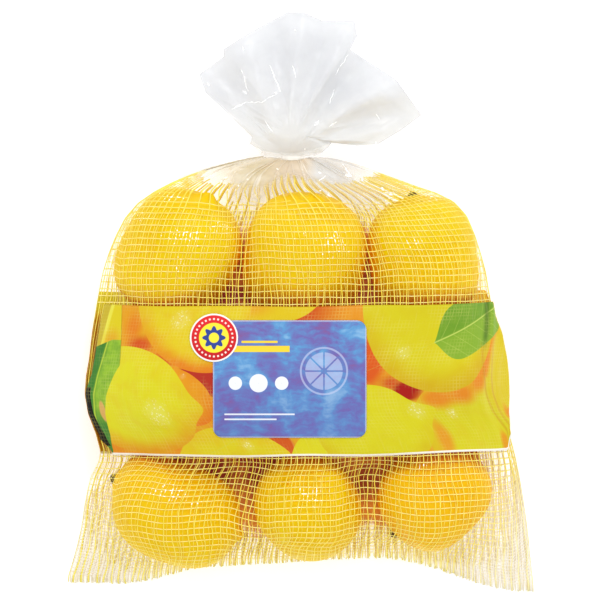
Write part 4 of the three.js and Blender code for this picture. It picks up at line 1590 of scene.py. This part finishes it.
# clear film under the tie, spread over the shoulders of the net
filmSkirt = {
    "rows": 46,
    "columns": 260,
    "lift": 1.0 * mm,
    "lowest": 0.5 * mm,
    "thickness": 0.1 * mm,
    "folds": 44,
    "foldHeight": 0.9 * mm,
    # lower edge: share across the bag, level
    "edge": [
        (0, 2.84), (0.03, 2.82), (0.246, 2.758), (0.282, 2.688), (0.375, 2.646), (0.408, 2.702),
        (0.48, 2.73), (0.54, 2.8), (0.579, 2.73), (0.637, 2.7), (0.669, 2.618), (0.766, 2.632),
        (0.794, 2.688), (0.881, 2.744), (0.96, 2.8), (1, 2.82),
    ],
    # where the film gets dense: share across the bag, level
    "dense": [
        (0, 2.9), (0.22, 2.84), (0.27, 2.77), (0.4, 2.76), (0.46, 2.83), (0.56, 2.84), (0.62, 2.8),
        (0.74, 2.78), (0.8, 2.84), (1, 2.9),
    ],
}
# streaks of light on it: from x, y to x, y and half width, mm
skirtGlints = [
    (-41.8, 57, -38.6, 61.2, 0.7), (-38.6, 61.2, -36.4, 62.4, 0.5), (-35.8, 67, -34.8, 66.6, 0.6),
    (-26.6, 61.6, -25.8, 61, 0.6), (-31.4, 58, -30.8, 57.6, 0.6), (-12, 66.6, -11.2, 66.2, 0.5),
    (9.4, 65, 10.4, 64.4, 0.7), (21, 68.8, 25.8, 61.8, 0.5), (9.4, 60.4, 12.4, 63, 0.45),
    (22, 63.2, 24.8, 62.4, 0.7), (9.4, 55.4, 10, 55, 0.8), (13, 54.4, 15, 52.2, 0.7),
    (30.4, 61, 31.2, 60.4, 0.8), (40.4, 57, 41.6, 55.6, 0.8), (42.6, 54.6, 46, 53.4, 0.8),
    (27.6, 58.6, 28.6, 58, 0.5), (5.6, 72.4, 13.4, 72.2, 0.5), (4.2, 75.4, 10.8, 75.4, 0.45),
]


def skirtMaterial():
    material, shader, place = newMaterial("film over the shoulders")
    haze = attribute(place, "haze")
    pleatGlint = attribute(place, "pleatGlint")
    x, _, _ = split(place)
    cloud = grain(place, 70.0, 3.0)
    left = mixed(remap(cloud, 0.38, 0.62), (228, 216, 184), (235, 226, 204))
    centre = mixed(remap(x, -0.022, -0.008), left, (232, 217, 194))
    base = mixed(remap(x, 0.002, 0.008), centre, (230, 228, 225))
    glint = streaks(place, skirtGlints)
    # painted highlights: the streaks and the pleat lines turn white and a little denser
    light = calc("MAXIMUM", glint, pleatGlint * 0.35)
    alpha = haze * remap(cloud, 0.3, 0.7, 0.8, 1.15)
    solid = calc("ADD", alpha, calc("MAXIMUM", glint, pleatGlint * 0.14), clamp=True)
    fine = grain(place, 200.0, 2.0)
    # a faint glow all over, brighter on the streaks: painted light
    fill(shader, {
        "Base Color": mixed(light, base, (1, 1, 1, 1)), "Alpha": solid,
        "Normal": bumped(fine, 0.3, 0.0005), "Roughness": 0.2, "Specular IOR Level": 0.3,
        "Emission Color": base, "Emission Strength": glint * 0.3 + 0.04,
    })
    return material


def makeFilmSkirts():
    material = skirtMaterial()
    draw = np.random.default_rng(21)
    share = np.linspace(0.004, 0.996, filmSkirt["columns"])
    low = np.interp(share, *zip(*filmSkirt["edge"]))
    low = low + 0.012 * np.sin(share * 61) + 0.008 * np.sin(share * 143 + 1)
    down = np.linspace(0, 1, filmSkirt["rows"])
    downs, shares = np.meshgrid(down, share, indexing="ij")
    levels = low + (2.995 - low) * downs
    folds, pleatGlints = np.zeros(levels.shape), np.zeros(levels.shape)
    for _ in range(filmSkirt["folds"]):
        middle, width = draw.uniform(0, 1), draw.uniform(0.006, 0.018)
        start, end = sorted(draw.uniform(-0.2, 1.1, 2))
        off = np.abs(shares - middle - draw.uniform(-0.05, 0.05) * downs) / width
        here = plateau(downs, start - 0.15, start + 0.15, end, end + 0.25)
        folds += np.maximum(0, 1 - off) * here * draw.uniform(0.3, 1.0)
        # white pleat lines: painted highlights
        pleatGlints += (off < 0.22) * here * (draw.uniform() < 0.6)
    # dense over the two lobes and the middle, thin towards the sides
    inside = plateau(shares, 0.16, 0.27, 0.76, 0.86)
    dense = np.interp(shares, *zip(*filmSkirt["dense"]))
    haze = 0.02 + smoothstep(levels - low, 0.0, 0.12) * (0.06 + 0.1 * inside)
    haze += smoothstep(levels, dense, dense + 0.09) * (0.18 + 0.34 * inside)
    for side, label in ((1, "front"), (-1, "back")):
        lift = filmSkirt["lift"] + folds * filmSkirt["foldHeight"]
        grid = onBag(side, levels, shares, lift, closed=True)
        grid[..., 2] = np.maximum(grid[..., 2], filmSkirt["lowest"])
        # the back sheet's columns run the other way, so that it faces outwards
        piece = sheetPiece(f"film_skirt_{label}", grid[:, ::side])
        pointValues(piece, "haze", haze[:, ::side])
        pointValues(piece, "pleatGlint", pleatGlints[:, ::side])
        thicken(piece, filmSkirt["thickness"])
        dress(piece, [material], "net", "net_bag")
    print("film skirts ready")


makeFilmSkirts()


# tie round the neck
neckTie = {"bow": 4.8 * mm, "alpha": 0.2, "edge": 0.3 * mm}


def makeTie():
    bm = mergedNode("neck_tie")
    mesh = bpy.data.meshes.new("tie")
    bm.to_mesh(mesh)
    bm.free()
    piece = linked("tie", mesh)
    soft = piece.modifiers.new("soft edges", "BEVEL")
    soft.width = neckTie["edge"]
    soft.segments = 2
    soft.limit_method = "ANGLE"
    soft.angle_limit = math.radians(40)
    applyModifiers(piece)
    smoothAll(piece).data.materials.clear()
    ends = [vertex.co.x for vertex in piece.data.vertices]
    middle, half = (min(ends) + max(ends)) / 2, (max(ends) - min(ends)) / 2
    for vertex in piece.data.vertices:
        vertex.co.y += neckTie["bow"] * (((vertex.co.x - middle) / half) ** 2 - 0.4)
    material, shader, place = newMaterial("milky tie")
    cloud = grain(place, 150.0, 2.0)
    x, y, _ = split(place)
    # painted highlight: a bright, nearly solid white patch at the middle of the tie's lower edge
    bright = remap(abs(x + 0.0038), 0.002, 0.006, 1.0, 0.0) * remap(y, 0.0732, 0.0724)
    fill(shader, {
        "Base Color": mixed(cloud, (240, 236, 226), (252, 252, 252)),
        "Alpha": remap(bright, 0.0, 1.0, neckTie["alpha"], 0.95),
        "Normal": bumped(cloud, 0.4, 0.0008), "Roughness": 0.2,
    })
    dress(piece, [material], "tie_plastic", "neck_tie")
    print("tie ready")


makeTie()
